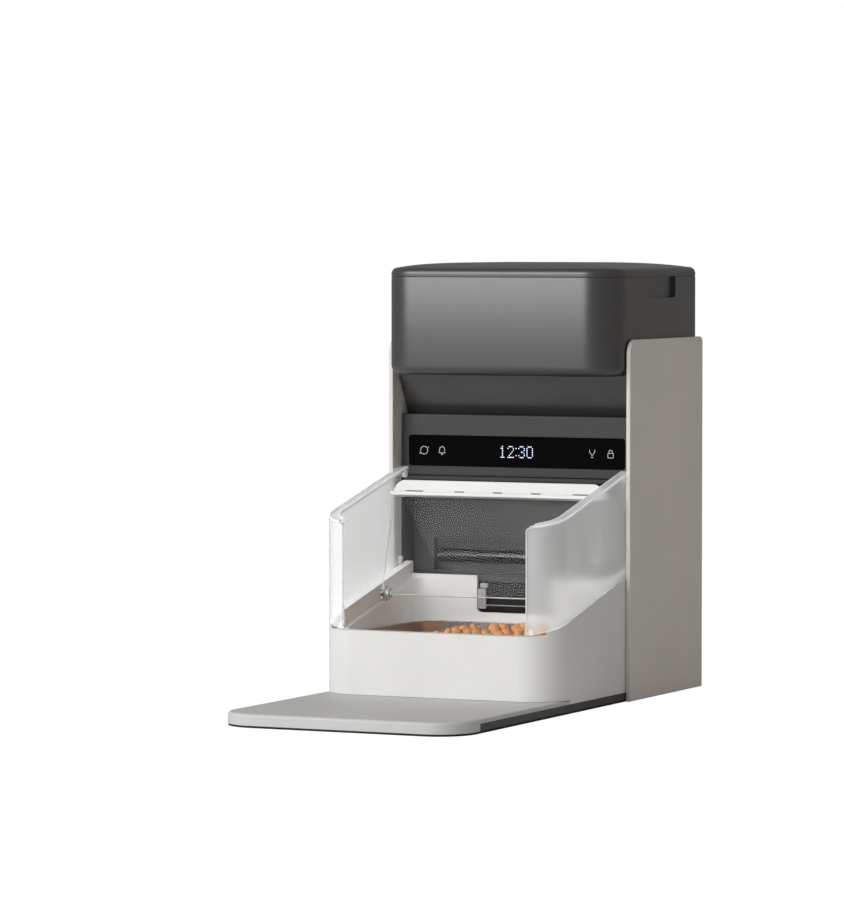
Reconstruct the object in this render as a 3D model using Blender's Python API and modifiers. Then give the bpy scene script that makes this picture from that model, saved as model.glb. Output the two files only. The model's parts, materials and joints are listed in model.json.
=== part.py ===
"""Microchip pet feeder: a covered bowl in front of a food hopper, on one base tray.

Metres, +Z up. Y is measured from the front edge of the side panels while the parts are made,
and one empty then moves the whole object so that its origin is the centre of its footprint.
"""
import math

import bmesh
import bpy
from mathutils import Matrix, Vector

# Driving dimensions
WIDTH = 0.230
PANEL_DEPTH = 0.164
PANEL_HEIGHT = 0.311
PANEL_THICKNESS = 0.004
PANEL_CORNER = 0.0125
PANEL_REAR_CORNER = 0.005
PANEL_EDGE_ROUND = 0.0008
STEP_REACH = 0.3373
HOUSING_REACH = 0.152
GAP = 0.0003
OVERRUN = 0.010
HALF_WIDTH = WIDTH / 2 - PANEL_THICKNESS - GAP

# Base tray, rubber foot pad and step plate
PAD_THICKNESS = 0.0015
TRAY_BOTTOM = PAD_THICKNESS + GAP
TRAY_TOP = 0.0077
PLATE_TOP = 0.0114
PLATE_LIP = 0.003
PLATE_LIP_REACH = 0.040
PLATE_CORNER = 0.033
PLATE_ROUND = 0.0025
PLATE_BOTTOM = TRAY_TOP + GAP

# Bowl housing
HOUSING_BACK = 0.019
HOUSING_CORNER = 0.034
HOUSING_WALL = 0.003
HOUSING_CEILING = 0.004
RIM_FRONT_Z = 0.0667
RIM_CORNER_Z = 0.0780
RIM_REAR_Z = 0.1117
RAIL_RISE = 0.0025
GUARD_SEAT = 0.0033
SIDE_WALL = 0.0105
FRONT_WALL = 0.011
LEDGE_WIDTH = 0.0052
LEDGE_DROP = 0.0137
TUB_REAR = 0.016
TUB_REAR_TOP = 0.1034
WELL_FRONT_CORNER = 0.020
WELL_REAR_CORNER = 0.008
LAND_Z = 0.0662
NOTCH_HALF_WIDTH = 0.037
NOTCH_BOTTOM = 0.0712
NOTCH_CORNER = 0.004

# Bowl
BOWL_RIM_Z = 0.0636
BOWL_SIDE_ROOM = 0.007
BOWL_REAR_ROOM = 0.0035
BOWL_CORNER = 0.030
BOWL_FLANGE = 0.005
BOWL_SHEET = 0.0014
BOWL_DEPTH = 0.038
BOWL_BOTTOM_ROUND = 0.012
BOWL_LOOSE = 0.0008

# Side guards
GUARD_SHEET = 0.0024
GUARD_FLANGE = 0.0093
GUARD_WRAP = 0.0259
GUARD_FRONT_HEIGHT = 0.0910
GUARD_REAR_HEIGHT = 0.0880
GUARD_REAR = 0.012

# Bowl cover, open at rest
COVER_AXIS_Y = -0.045
COVER_AXIS_Z = 0.090
COVER_SIDE_PLAY = 0.0008
COVER_REACH = 0.101
COVER_LEAN = math.radians(15.15)
COVER_SHEET = 0.0024
COVER_BAR_HEIGHT = 0.0115
COVER_LIP_DEPTH = 0.0065
COVER_LIP_HEIGHT = 0.0035
COVER_EAR_RADIUS = 0.0065
COVER_EAR_WIDTH = 0.004
COVER_PIN_RADIUS = 0.0025
COVER_PIN_PLAY = 0.0003
SLOT_PITCH = 0.0363
SLOT_WIDTH = 0.009
SLOT_HEIGHT = 0.0018
WIDE_SLOT_WIDTH = 0.017
WIDE_SLOT_INSET = 0.0199

# Cover drive in the right side wall
GEAR_MODULE = 0.001
TOOTH_TIP_SHARE = 0.9
TOOTH_ROOT_SHARE = 1.15
TOOTH_START_SHARE = 0.43
TOOTH_FLANK_SHARES = (0.00, 0.16, 0.34, 0.52, 0.70)
COVER_GEAR_TEETH = 12
DRIVE_GEAR_TEETH = 18
COVER_GEAR_WIDTH = 0.003
COVER_GEAR_PLAY = 0.0005
COVER_MOTOR_LENGTH = 0.0040
COVER_MOTOR_RADIUS = 0.0065
COVER_MOTOR_SHAFT_RADIUS = 0.0015
BAY_HALF_LENGTH = 0.013
BAY_OUTER_WALL = 0.0039
BAY_WIDTH = 0.0087
PIN_SEAT = 0.0015
BAY_SHOULDER_Z = 0.0818

# Rear body
BODY_FRONT = 0.0165
BODY_TOP = 0.2436
BODY_WALL = 0.003
CAVITY_BOTTOM = 0.1037
CAVITY_TOP = 0.1865
CAVITY_DEPTH = 0.0195
CAVITY_TOP_DEPTH = 0.0115
CAVITY_BEND_Z = 0.165
CAVITY_SIDE = 0.0030
RECESS_SIDE_WALL = 0.0227
RECESS_BOTTOM = 0.1055
RECESS_TOP = 0.134
RECESS_DEPTH = 0.008
SENSOR_BAR_RADIUS = 0.0062
SENSOR_BAR_END_ROOM = 0.002
SENSOR_BAR_Z = 0.1185

# Fascia and display
FASCIA_BOTTOM = 0.190
FASCIA_RISE = 0.0002
FASCIA_SIDE_ROOM = 0.0009
FASCIA_SHEET = 0.0035
FASCIA_SHELF_DEPTH = 0.0130
FASCIA_SHELF_SHEET = 0.0028
FASCIA_ROUND = 0.0012
DISPLAY_SIDE_MARGIN = 0.0068
DISPLAY_DROP = 0.0184
DISPLAY_HEIGHT = 0.0268
DISPLAY_CORNER = 0.003
DISPLAY_SHEET = 0.0018
BOARD_SIDE_ROOM = 0.009
BOARD_MARGIN = 0.004
BOARD_SHEET = 0.0016
FASCIA_POCKET = 0.0035

# Outlet in the notch
OUTLET_FRAME_TOP = 0.0985
OUTLET_FRAME_LEG = 0.008
OUTLET_FRAME_SHEET = 0.0022
OUTLET_FRAME_SILL = 0.002
FLAP_HALF_WIDTH = 0.0264
FLAP_SHEET = 0.0018
FLAP_PIN_RADIUS = 0.0014
FLAP_AXIS_DROP = 0.0032
OUTLET_HALF_WIDTH = 0.025
OUTLET_BOTTOM = 0.0755
OUTLET_TOP = 0.0935

# Hopper and lid
HOPPER_SIDE_ROOM = 0.0007
HOPPER_FRONT = -0.028
HOPPER_BACK_ROOM = 0.0004
HOPPER_CORNER = 0.030
HOPPER_REAR_CORNER = 0.0068
HOPPER_TOP = 0.3647
HOPPER_CHIN_Z = 0.288
HOPPER_THROAT_Z = 0.277
CHIN_FRONT_SHARE = 0.35
CHIN_SLOPE_SHARE = 0.75
HOPPER_WALL = 0.004
HOPPER_OUTLET_HALF = 0.024
HOPPER_SLOPE_Z = 0.285
LID_HEIGHT = 0.0123
LID_ROUND = 0.0060
LID_WALL = 0.004
LID_PLAY = 0.0006
SEAL_WIDTH = 0.003
SEAL_DROP = 0.004
FINGER_START = 0.0512
FINGER_END = 0.1122
FINGER_HEIGHT = 0.0185
FINGER_DEPTH = 0.0025
FINGER_CORNER = 0.004
DESICCANT_LENGTH = 0.070
DESICCANT_DEPTH = 0.046
DESICCANT_HEIGHT = 0.009
DESICCANT_CORNER = 0.004

# Portioning wheel and its drive
WHEEL_Y = 0.100
WHEEL_Z = 0.2115
DRUM_RADIUS = 0.0285
DRUM_WALL = 0.002
DRUM_HALF_LENGTH = 0.027
DRUM_MOUTH_HALF = 0.021
WHEEL_RADIUS = 0.0250
WHEEL_HALF_LENGTH = 0.0225
WHEEL_BLADES = 6
WHEEL_BLADE_SHEET = 0.0024
WHEEL_HUB_RADIUS = 0.0075
SHAFT_RADIUS = 0.003
SHAFT_PLAY = 0.0003
WHEEL_GEAR_TEETH = 40
PINION_TEETH = 12
WHEEL_GEAR_X = 0.0325
WHEEL_GEAR_WIDTH = 0.005
BRACKET_X = 0.0385
BRACKET_SHEET = 0.002
BRACKET_MARGIN = 0.010
MOTOR_RADIUS = 0.0115
MOTOR_LENGTH = 0.034
MOTOR_SHAFT_RADIUS = 0.0015

# Chute
CHUTE_HALF_WIDTH = 0.0275
CHUTE_WALL = 0.0015
CHUTE_TOP = 0.1795
CHUTE_TOP_HALF = 0.022
CHUTE_BEND_Z = 0.140

# Back cover, battery, boards and inlet
BACK_SHEET = 0.0029
BACK_BOTTOM = 0.0082
CELL_RADIUS = 0.0163
CELL_LENGTH = 0.0605
CELL_NUB_RADIUS = 0.0047
CELL_NUB_LENGTH = 0.0015
CELL_BACK_ROOM = 0.0033
CELL_COUNT = 3
DOOR_SIDE_MARGIN = 0.0147
DOOR_BOTTOM = 0.0125
DOOR_TOP = 0.047
DOOR_CORNER = 0.003
DOOR_GRIP_RADIUS = 0.007
DOOR_GRIP_DEPTH = 0.0012
MAIN_BOARD_HALF_WIDTH = 0.055
MAIN_BOARD_BOTTOM = 0.070
MAIN_BOARD_TOP = 0.140
MAIN_BOARD_STANDOFF = 0.007
BOSS_RADIUS = 0.0035
BOSS_INSET = 0.007
ANTENNA_SIDE_MARGIN = 0.0147
ANTENNA_BOTTOM = 0.112
ANTENNA_TOP = 0.182
ANTENNA_BAND = 0.006
ANTENNA_SHEET = 0.0015
ANTENNA_CORNER = 0.008
JACK_SIDE_MARGIN = 0.0407
JACK_Z = 0.060
JACK_RADIUS = 0.0055
JACK_BORE = 0.0028
JACK_LENGTH = 0.012
JACK_FLANGE = 0.0015
JACK_FLANGE_RADIUS = 0.0075
SCREW_HEAD_RADIUS = 0.0032
SCREW_SHANK_RADIUS = 0.0015
SCREW_HEAD_HEIGHT = 0.0018
SCREW_LENGTH = 0.012
SCREW_SIDE_MARGIN = 0.0072
SCREW_LOW_Z = 0.052
SCREW_TOP_MARGIN = 0.0116

# Counts
ARC_STEPS = 8
ROUND_SIDES = 32
SMALL_SIDES = 20
SMOOTH_ANGLE = math.radians(32)
WELD_DISTANCE = 0.000001
FLAT_ANGLE = 0.0005

# Worked-out places
ORIGIN_SHIFT = (STEP_REACH - PANEL_DEPTH) / 2
PLATE_BACK = HOUSING_REACH - HOUSING_CORNER
TUB_HALF_WIDTH = HALF_WIDTH - SIDE_WALL
WELL_HALF_WIDTH = TUB_HALF_WIDTH - LEDGE_WIDTH
WELL_FRONT = HOUSING_REACH - FRONT_WALL
BOWL_HALF_WIDTH = WELL_HALF_WIDTH - BOWL_SIDE_ROOM
BOWL_FRONT = WELL_FRONT - BOWL_SIDE_ROOM
BOWL_REAR = TUB_REAR - BOWL_REAR_ROOM
GUARD_FRONT_HALF = HALF_WIDTH - GUARD_WRAP
HOPPER_BACK = PANEL_DEPTH - HOPPER_BACK_ROOM
HOPPER_HALF_WIDTH = HALF_WIDTH - HOPPER_SIDE_ROOM
BODY_BACK = HOPPER_BACK - BACK_SHEET - GAP
FASCIA_TOP = BODY_TOP + FASCIA_RISE
FASCIA_HALF_WIDTH = HALF_WIDTH - FASCIA_SIDE_ROOM
DISPLAY_HALF_WIDTH = FASCIA_HALF_WIDTH - DISPLAY_SIDE_MARGIN
DISPLAY_TOP = FASCIA_TOP - DISPLAY_DROP
DISPLAY_BOTTOM = DISPLAY_TOP - DISPLAY_HEIGHT
BOARD_HALF_WIDTH = DISPLAY_HALF_WIDTH - BOARD_SIDE_ROOM
HOPPER_BOTTOM = FASCIA_TOP + GAP
RECESS_HALF_WIDTH = HALF_WIDTH - RECESS_SIDE_WALL
SENSOR_BAR_HALF_LENGTH = RECESS_HALF_WIDTH - SENSOR_BAR_END_ROOM
BAY_OUTER_X = HALF_WIDTH - BAY_OUTER_WALL
BAY_INNER_X = BAY_OUTER_X - BAY_WIDTH
COVER_GEAR_X = BAY_OUTER_X - COVER_GEAR_PLAY - COVER_GEAR_WIDTH
COVER_MOTOR_X = BAY_INNER_X + GAP
DOOR_HALF_WIDTH = HALF_WIDTH - DOOR_SIDE_MARGIN
ANTENNA_HALF_WIDTH = HALF_WIDTH - ANTENNA_SIDE_MARGIN
CELL_Y = BODY_BACK - CELL_BACK_ROOM - CELL_RADIUS
JACK_X = HALF_WIDTH - JACK_SIDE_MARGIN
SCREW_X = HALF_WIDTH - SCREW_SIDE_MARGIN
SCREW_HIGH_Z = BODY_TOP - SCREW_TOP_MARGIN
CHUTE_TOP_FRONT = WHEEL_Y - CHUTE_TOP_HALF
CHUTE_TOP_REAR = WHEEL_Y + CHUTE_TOP_HALF
RIM_CORNER_Y = -(HOUSING_REACH - HOUSING_CORNER)
RIM_SLOPE = (RIM_REAR_Z - RIM_CORNER_Z) / (HOUSING_BACK - RIM_CORNER_Y)
COVER_HALF_WIDTH = TUB_HALF_WIDTH - COVER_SIDE_PLAY
WIDE_SLOT_PLACE = COVER_HALF_WIDTH - WIDE_SLOT_INSET
COVER_AXIS = (0, COVER_AXIS_Y, COVER_AXIS_Z)
DRIVE_DISTANCE = GEAR_MODULE * (COVER_GEAR_TEETH + DRIVE_GEAR_TEETH) / 2
DRIVE_AXIS = (0, COVER_AXIS_Y, COVER_AXIS_Z - DRIVE_DISTANCE)
WHEEL_AXIS = (0, WHEEL_Y, WHEEL_Z)
PINION_DISTANCE = GEAR_MODULE * (WHEEL_GEAR_TEETH + PINION_TEETH) / 2
PINION_AXIS = (0, WHEEL_Y + PINION_DISTANCE, WHEEL_Z)
OUTLET_FRAME_HALF_WIDTH = NOTCH_HALF_WIDTH - GAP
OUTLET_FRAME_BACK = TUB_REAR + GAP + OUTLET_FRAME_SHEET
FLAP_AXIS = (0, OUTLET_FRAME_BACK + GAP + FLAP_PIN_RADIUS, OUTLET_FRAME_TOP - FLAP_AXIS_DROP)
CAVITY_BACK = BODY_FRONT + CAVITY_DEPTH
HOLLOW_FRONT = CAVITY_BACK + RECESS_DEPTH + BODY_WALL
LOWER_FRONT = HOUSING_BACK + GAP
LOWER_WALL = 2 * BODY_WALL
LID_BOTTOM = HOPPER_TOP + GAP
BOWL_SEAT_Z = BOWL_RIM_Z - BOWL_SHEET - GAP
HOLLOW_CEILING = BOWL_SEAT_Z - HOUSING_CEILING


def rim_z(y):
    """Height of the housing's outer rim at a place along Y."""
    if y >= RIM_CORNER_Y:
        return RIM_CORNER_Z + RIM_SLOPE * (y - RIM_CORNER_Y)
    share = (y + HOUSING_REACH) / (RIM_CORNER_Y + HOUSING_REACH)
    return RIM_FRONT_Z + share * (RIM_CORNER_Z - RIM_FRONT_Z)


def ledge_z(y):
    """Height of the sloping ledge inside the side walls."""
    return RIM_CORNER_Z + RIM_SLOPE * (y - RIM_CORNER_Y) + RAIL_RISE - LEDGE_DROP


def clear_scene():
    for old in list(bpy.data.objects):
        bpy.data.objects.remove(old, do_unlink=True)


def new_collection(name):
    collection = bpy.data.collections.new(name)
    bpy.context.scene.collection.children.link(collection)
    return collection


clear_scene()
PARTS = new_collection("pet_feeder")
CUTTERS = new_collection("cutters")
ORIGIN = bpy.data.objects.new("feeder_origin", None)
ORIGIN.location = (0, ORIGIN_SHIFT, 0)
PARTS.objects.link(ORIGIN)
AXES = {}


def axis_empty(name, point):
    """An empty on a joint's axis, which the moving parts are parented to."""
    empty = bpy.data.objects.new(name, None)
    empty.location = point
    empty.parent = ORIGIN
    PARTS.objects.link(empty)
    AXES[name] = Vector(point)
    return empty


def place(obj, carrier):
    """Parents an object and its helpers, so that their meshes keep their places."""
    obj.parent = carrier
    obj.location = -AXES.get(carrier.name, Vector((0, 0, 0)))
    for modifier in obj.modifiers:
        if modifier.type == "BOOLEAN":
            place(modifier.object, carrier)


def make_material(name, colour, roughness, metallic=0.0, alpha=1.0):
    material = bpy.data.materials.new(name)
    material.use_nodes = True
    shader = material.node_tree.nodes["Principled BSDF"]
    shader.inputs["Base Color"].default_value = (*colour, 1.0)
    shader.inputs["Roughness"].default_value = roughness
    shader.inputs["Metallic"].default_value = metallic
    shader.inputs["Alpha"].default_value = alpha
    material.diffuse_color = (*colour, alpha)
    return material


WHITE = (0.77, 0.77, 0.75)
STONE = (0.50, 0.47, 0.43)
PALE_GREY = (0.52, 0.52, 0.51)
CHARCOAL = (0.055, 0.055, 0.057)
BLACK = (0.010, 0.010, 0.011)
RUBBER_BLACK = (0.015, 0.015, 0.015)
CLEAR = (0.90, 0.92, 0.93)
STEEL = (0.60, 0.60, 0.60)
BOARD_GREEN = (0.03, 0.17, 0.07)
COPPER = (0.72, 0.35, 0.18)
ACETAL = (0.80, 0.79, 0.74)
SILICONE = (0.60, 0.60, 0.60)


def finish_part(obj, name, colour, roughness, metallic=0.0, alpha=1.0, carrier=ORIGIN):
    """Names a part, gives it its own material, its carrier and smooth round faces."""
    obj.name = name
    obj.data.name = name
    obj.data.materials.clear()
    obj.data.materials.append(make_material(name + "_finish", colour, roughness, metallic, alpha))
    obj.data.shade_smooth()
    obj.data.set_sharp_from_angle(angle=SMOOTH_ANGLE)
    place(obj, carrier)
    return obj


def mesh_object(name, bm):
    mesh = bpy.data.meshes.new(name)
    bmesh.ops.recalc_face_normals(bm, faces=bm.faces)
    bm.to_mesh(mesh)
    bm.free()
    obj = bpy.data.objects.new(name, mesh)
    PARTS.objects.link(obj)
    return obj


def rounded(corners, steps=ARC_STEPS):
    """Outline from corners (x, y, radius), with an arc at each corner that has a radius."""
    outline = []
    count = len(corners)
    for index, (x, y, radius) in enumerate(corners):
        here = Vector((x, y))
        if radius == 0:
            outline.append(here)
            continue
        before = (Vector(corners[index - 1][:2]) - here).normalized()
        after = (Vector(corners[(index + 1) % count][:2]) - here).normalized()
        half = before.angle(after) / 2
        centre = here + (before + after).normalized() * (radius / math.sin(half))
        start = here + before * (radius / math.tan(half)) - centre
        turn = start.angle_signed(here + after * (radius / math.tan(half)) - centre)
        for step in range(steps + 1):
            spin = Matrix.Rotation(-turn * step / steps, 2)
            outline.append(centre + spin @ start)
    return outline


def rectangle(x_low, x_high, y_low, y_high, radius=0.0, steps=ARC_STEPS):
    corners = ((x_low, y_low), (x_high, y_low), (x_high, y_high), (x_low, y_high))
    return rounded([(x, y, radius) for x, y in corners], steps)


def circle(radius, centre=(0, 0), sides=ROUND_SIDES):
    turns = [2 * math.pi * index / sides for index in range(sides)]
    return [Vector((centre[0] + radius * math.cos(t), centre[1] + radius * math.sin(t))) for t in turns]


AXIS_FRAMES = {
    "X": Matrix(((0, 0, 1, 0), (1, 0, 0, 0), (0, 1, 0, 0), (0, 0, 0, 1))),
    "Y": Matrix(((1, 0, 0, 0), (0, 0, -1, 0), (0, 1, 0, 0), (0, 0, 0, 1))),
    "Z": Matrix.Identity(4),
}


def prism(outline, low, high, axis="Z", holes=()):
    """Flat outline drawn out along an axis. Outlines are (y, z) for X, (x, z) for Y, (x, y) for Z."""
    curve = bpy.data.curves.new("outline", "CURVE")
    curve.dimensions = "2D"
    curve.fill_mode = "BOTH"
    curve.extrude = (high - low) / 2
    curve.render_resolution_u = 0
    for loop in (outline, *holes):
        spline = curve.splines.new("POLY")
        spline.points.add(len(loop) - 1)
        for point, (x, y) in zip(spline.points, loop):
            point.co = (x, y, 0, 1)
        spline.use_cyclic_u = True
    guide = bpy.data.objects.new("outline", curve)
    CUTTERS.objects.link(guide)
    depsgraph = bpy.context.evaluated_depsgraph_get()
    mesh = bpy.data.meshes.new_from_object(guide.evaluated_get(depsgraph))
    bpy.data.objects.remove(guide)
    bm = bmesh.new()
    bm.from_mesh(mesh)
    bpy.data.meshes.remove(mesh)
    bmesh.ops.remove_doubles(bm, verts=bm.verts, dist=WELD_DISTANCE)
    if not holes:
        bmesh.ops.dissolve_limit(bm, angle_limit=FLAT_ANGLE, verts=bm.verts, edges=bm.edges)
    middle = (high + low) / 2
    if axis == "Y":
        middle = -middle
    bmesh.ops.transform(bm, matrix=Matrix.Translation((0, 0, middle)), verts=bm.verts)
    bmesh.ops.transform(bm, matrix=AXIS_FRAMES[axis], verts=bm.verts)
    return mesh_object("prism", bm)


def box(x_low, x_high, y_low, y_high, z_low, z_high):
    bm = bmesh.new()
    bmesh.ops.create_cube(bm, size=1)
    size = Matrix.Diagonal((x_high - x_low, y_high - y_low, z_high - z_low, 1))
    middle = ((x_high + x_low) / 2, (y_high + y_low) / 2, (z_high + z_low) / 2)
    bmesh.ops.transform(bm, matrix=Matrix.Translation(middle) @ size, verts=bm.verts)
    return mesh_object("box", bm)


def rod(radius, low, high, axis, centre, sides=SMALL_SIDES):
    """Cylinder along an axis. The centre is (y, z) for X, (x, z) for Y, (x, y) for Z."""
    bm = bmesh.new()
    bmesh.ops.create_cone(
        bm, cap_ends=True, segments=sides, radius1=radius, radius2=radius, depth=high - low)
    middle = (high + low) / 2
    if axis == "Y":
        middle = -middle
    bmesh.ops.transform(bm, matrix=Matrix.Translation((*centre, middle)), verts=bm.verts)
    bmesh.ops.transform(bm, matrix=AXIS_FRAMES[axis], verts=bm.verts)
    return mesh_object("rod", bm)


def loft(name, rings):
    """Closed skin over rings of points (x, y, z), capped at the first and the last."""
    bm = bmesh.new()
    loops = [[bm.verts.new(point) for point in ring] for ring in rings]
    for lower, upper in zip(loops, loops[1:]):
        for index in range(len(lower)):
            after = (index + 1) % len(lower)
            bm.faces.new((lower[index], lower[after], upper[after], upper[index]))
    bm.faces.new(loops[0])
    bm.faces.new(loops[-1])
    return mesh_object(name, bm)


def combine(target, other, operation):
    """Boolean with a helper that is kept out of renders."""
    for collection in list(other.users_collection):
        collection.objects.unlink(other)
    CUTTERS.objects.link(other)
    other.name = "helper"
    other.hide_render = True
    other.display_type = "WIRE"
    modifier = target.modifiers.new(operation.lower(), "BOOLEAN")
    modifier.operation = operation
    modifier.object = other
    return target


def cut(target, *others):
    for other in others:
        combine(target, other, "DIFFERENCE")
    return target


def join(target, *others):
    for other in others:
        combine(target, other, "UNION")
    return target


def keep_inside(target, other):
    return combine(target, other, "INTERSECT")


def round_edges(obj, width, wanted, segments=3):
    """Bevel on the edges that a test of their two ends picks."""
    mesh = obj.data
    weights = mesh.attributes.new("bevel_weight_edge", "FLOAT", "EDGE")
    for edge in mesh.edges:
        ends = [mesh.vertices[index].co for index in edge.vertices]
        weights.data[edge.index].value = 1.0 if wanted(*ends) else 0.0
    modifier = obj.modifiers.new("rounding", "BEVEL")
    modifier.limit_method = "WEIGHT"
    modifier.width = width
    modifier.segments = segments
    modifier.use_clamp_overlap = False
    return obj


def level(value):
    """Edge test: both ends lie at one height."""
    return lambda a, b: abs(a.z - value) < GAP / 2 and abs(b.z - value) < GAP / 2


def gear_outline(teeth, module, turned=0.0):
    """Teeth with straight flanks round the pitch circle."""
    pitch = module * teeth / 2
    tip = pitch + TOOTH_TIP_SHARE * module
    root = pitch - TOOTH_ROOT_SHARE * module
    outline = []
    for tooth in range(teeth):
        for share, radius in zip(TOOTH_FLANK_SHARES, (root, root, tip, tip, root)):
            angle = 2 * math.pi * (tooth + share - TOOTH_START_SHARE + turned) / teeth
            outline.append(Vector((radius * math.cos(angle), radius * math.sin(angle))))
    return outline


def gear(teeth, x_low, x_high, axis_point, bore, turned):
    """Spur gear on an axis along X."""
    centre = Vector(axis_point[1:])
    outline = [point + centre for point in gear_outline(teeth, GEAR_MODULE, turned)]
    return prism(outline, x_low, x_high, "X", holes=[circle(bore, centre, SMALL_SIDES)])


def front_outline(half_width, reach, back, corner, inset=0.0):
    """Plan outline with two round front corners and a straight back."""
    side = half_width - inset
    radius = max(corner - inset, 0.0)
    return rounded([
        (-side, -(reach - inset), radius),
        (side, -(reach - inset), radius),
        (side, back, 0),
        (-side, back, 0),
    ])


def under_plate_outline(inset, back):
    """Plan of the tray below the step plate: drawn in behind the plate's front lip."""
    side = HALF_WIDTH - PLATE_LIP - inset
    front = -(STEP_REACH - PLATE_LIP - inset)
    shoulder = -(STEP_REACH - PLATE_LIP_REACH) + inset
    wide = HALF_WIDTH
    radius = PLATE_CORNER - PLATE_LIP - inset
    return rounded([
        (-side, front, radius), (side, front, radius),
        (side, shoulder, 0), (wide, shoulder, 0), (wide, back, 0),
        (-wide, back, 0), (-wide, shoulder, 0), (-side, shoulder, 0),
    ])


def make_base():
    pad_plan = front_outline(HALF_WIDTH, STEP_REACH, PANEL_DEPTH, PLATE_CORNER, GAP)
    pad = prism(pad_plan, 0, PAD_THICKNESS)
    finish_part(pad, "foot_pad", RUBBER_BLACK, 0.8)
    tray = prism(under_plate_outline(GAP, PANEL_DEPTH - GAP), TRAY_BOTTOM, TRAY_TOP)
    finish_part(tray, "base_tray", CHARCOAL, 0.5)
    plate = prism(front_outline(HALF_WIDTH, STEP_REACH, -PLATE_BACK, PLATE_CORNER), TRAY_BOTTOM, PLATE_TOP)
    round_edges(plate, PLATE_ROUND, level(PLATE_TOP))
    lip_plan = front_outline(HALF_WIDTH, STEP_REACH, OVERRUN, PLATE_CORNER, PLATE_LIP)
    cut(plate, prism(lip_plan, -OVERRUN, PLATE_BOTTOM))
    wide = HALF_WIDTH + OVERRUN
    cut(plate, box(-wide, wide, PLATE_LIP_REACH - STEP_REACH, OVERRUN, -OVERRUN, PLATE_BOTTOM))
    finish_part(plate, "step_plate", PALE_GREY, 0.6)


def side_profile(offset, low, front_y=-HOUSING_REACH - OVERRUN):
    """Side view (y, z) of what lies between a low line and the rim line moved up by an offset."""
    back_y = HOUSING_BACK + OVERRUN
    front_z = rim_z(-HOUSING_REACH) + offset
    return [
        Vector((front_y, low)), Vector((back_y, low)),
        Vector((back_y, rim_z(back_y) + offset)),
        Vector((RIM_CORNER_Y, RIM_CORNER_Z + offset)),
        Vector((-HOUSING_REACH, front_z)), Vector((front_y, front_z)),
    ]


def housing_seat_cutter():
    """What is cut from the rim outside the rail, so that the guards have a ledge to stand on."""
    wide = HALF_WIDTH + OVERRUN
    outer = rectangle(-wide, wide, -STEP_REACH, HOUSING_BACK + OVERRUN)
    rail_back = HOUSING_BACK + 2 * OVERRUN
    rail = front_outline(HALF_WIDTH, HOUSING_REACH, rail_back, HOUSING_CORNER, GUARD_SEAT)
    seat = prism(outer, RIM_FRONT_Z - OVERRUN, RIM_REAR_Z + 2 * OVERRUN)
    cut(seat, prism(rail, 0, RIM_REAR_Z + 3 * OVERRUN))
    return cut(seat, prism(side_profile(0.0, -OVERRUN, -STEP_REACH - OVERRUN), -2 * wide, 2 * wide, "X"))


def bowl_hole(loose):
    """Plan of the bowl's body, grown by a clearance or drawn in by a negative one."""
    edge = BOWL_FLANGE - loose
    return rectangle(-BOWL_HALF_WIDTH + edge, BOWL_HALF_WIDTH - edge, -BOWL_FRONT + edge,
                     BOWL_REAR - edge, BOWL_CORNER - edge)


def cut_tub(housing, top):
    """The tub over the bowl: ledges, land, well, bowl hole and the notch of the rear wall."""
    land_y = RIM_CORNER_Y + (LAND_Z - ledge_z(RIM_CORNER_Y)) / RIM_SLOPE
    behind = HOUSING_BACK + OVERRUN
    ledge = [
        Vector((-STEP_REACH, LAND_Z)), Vector((land_y, LAND_Z)), Vector((TUB_REAR, ledge_z(TUB_REAR))),
        Vector((TUB_REAR, TUB_REAR_TOP)), Vector((behind, TUB_REAR_TOP)), Vector((behind, top)),
        Vector((-STEP_REACH, top))]
    cut(housing, prism(ledge, -TUB_HALF_WIDTH, TUB_HALF_WIDTH, "X"))
    side = WELL_HALF_WIDTH
    well = rounded([
        (-side, -WELL_FRONT, WELL_FRONT_CORNER), (side, -WELL_FRONT, WELL_FRONT_CORNER),
        (side, TUB_REAR, WELL_REAR_CORNER), (-side, TUB_REAR, WELL_REAR_CORNER)])
    cut(housing, prism(well, BOWL_SEAT_Z, top))
    cut(housing, prism(bowl_hole(BOWL_LOOSE), -OVERRUN, top))
    half = NOTCH_HALF_WIDTH
    notch = rounded([
        (-half, NOTCH_BOTTOM, NOTCH_CORNER), (half, NOTCH_BOTTOM, NOTCH_CORNER), (half, top, 0),
        (-half, top, 0)])
    cut(housing, prism(notch, TUB_REAR - OVERRUN, behind, "Y"))


def gear_bay_outline():
    """Side view (y, z) of the room round the cover's gears, open below and round at the top."""
    room = GEAR_MODULE * COVER_GEAR_TEETH / 2 + GEAR_MODULE + GAP
    y, z = COVER_AXIS[1:]
    arc = [math.pi * step / (2 * ARC_STEPS) for step in range(2 * ARC_STEPS + 1)]
    outline = [Vector((y + room * math.cos(turn), z + room * math.sin(turn))) for turn in arc]
    for side in (-1, 1):
        outline_y = y + side * BAY_HALF_LENGTH
        corners = [Vector((y + side * room, BAY_SHOULDER_Z)), Vector((outline_y, BAY_SHOULDER_Z)),
                   Vector((outline_y, -OVERRUN))]
        outline += corners if side < 0 else corners[::-1]
    return outline


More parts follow.
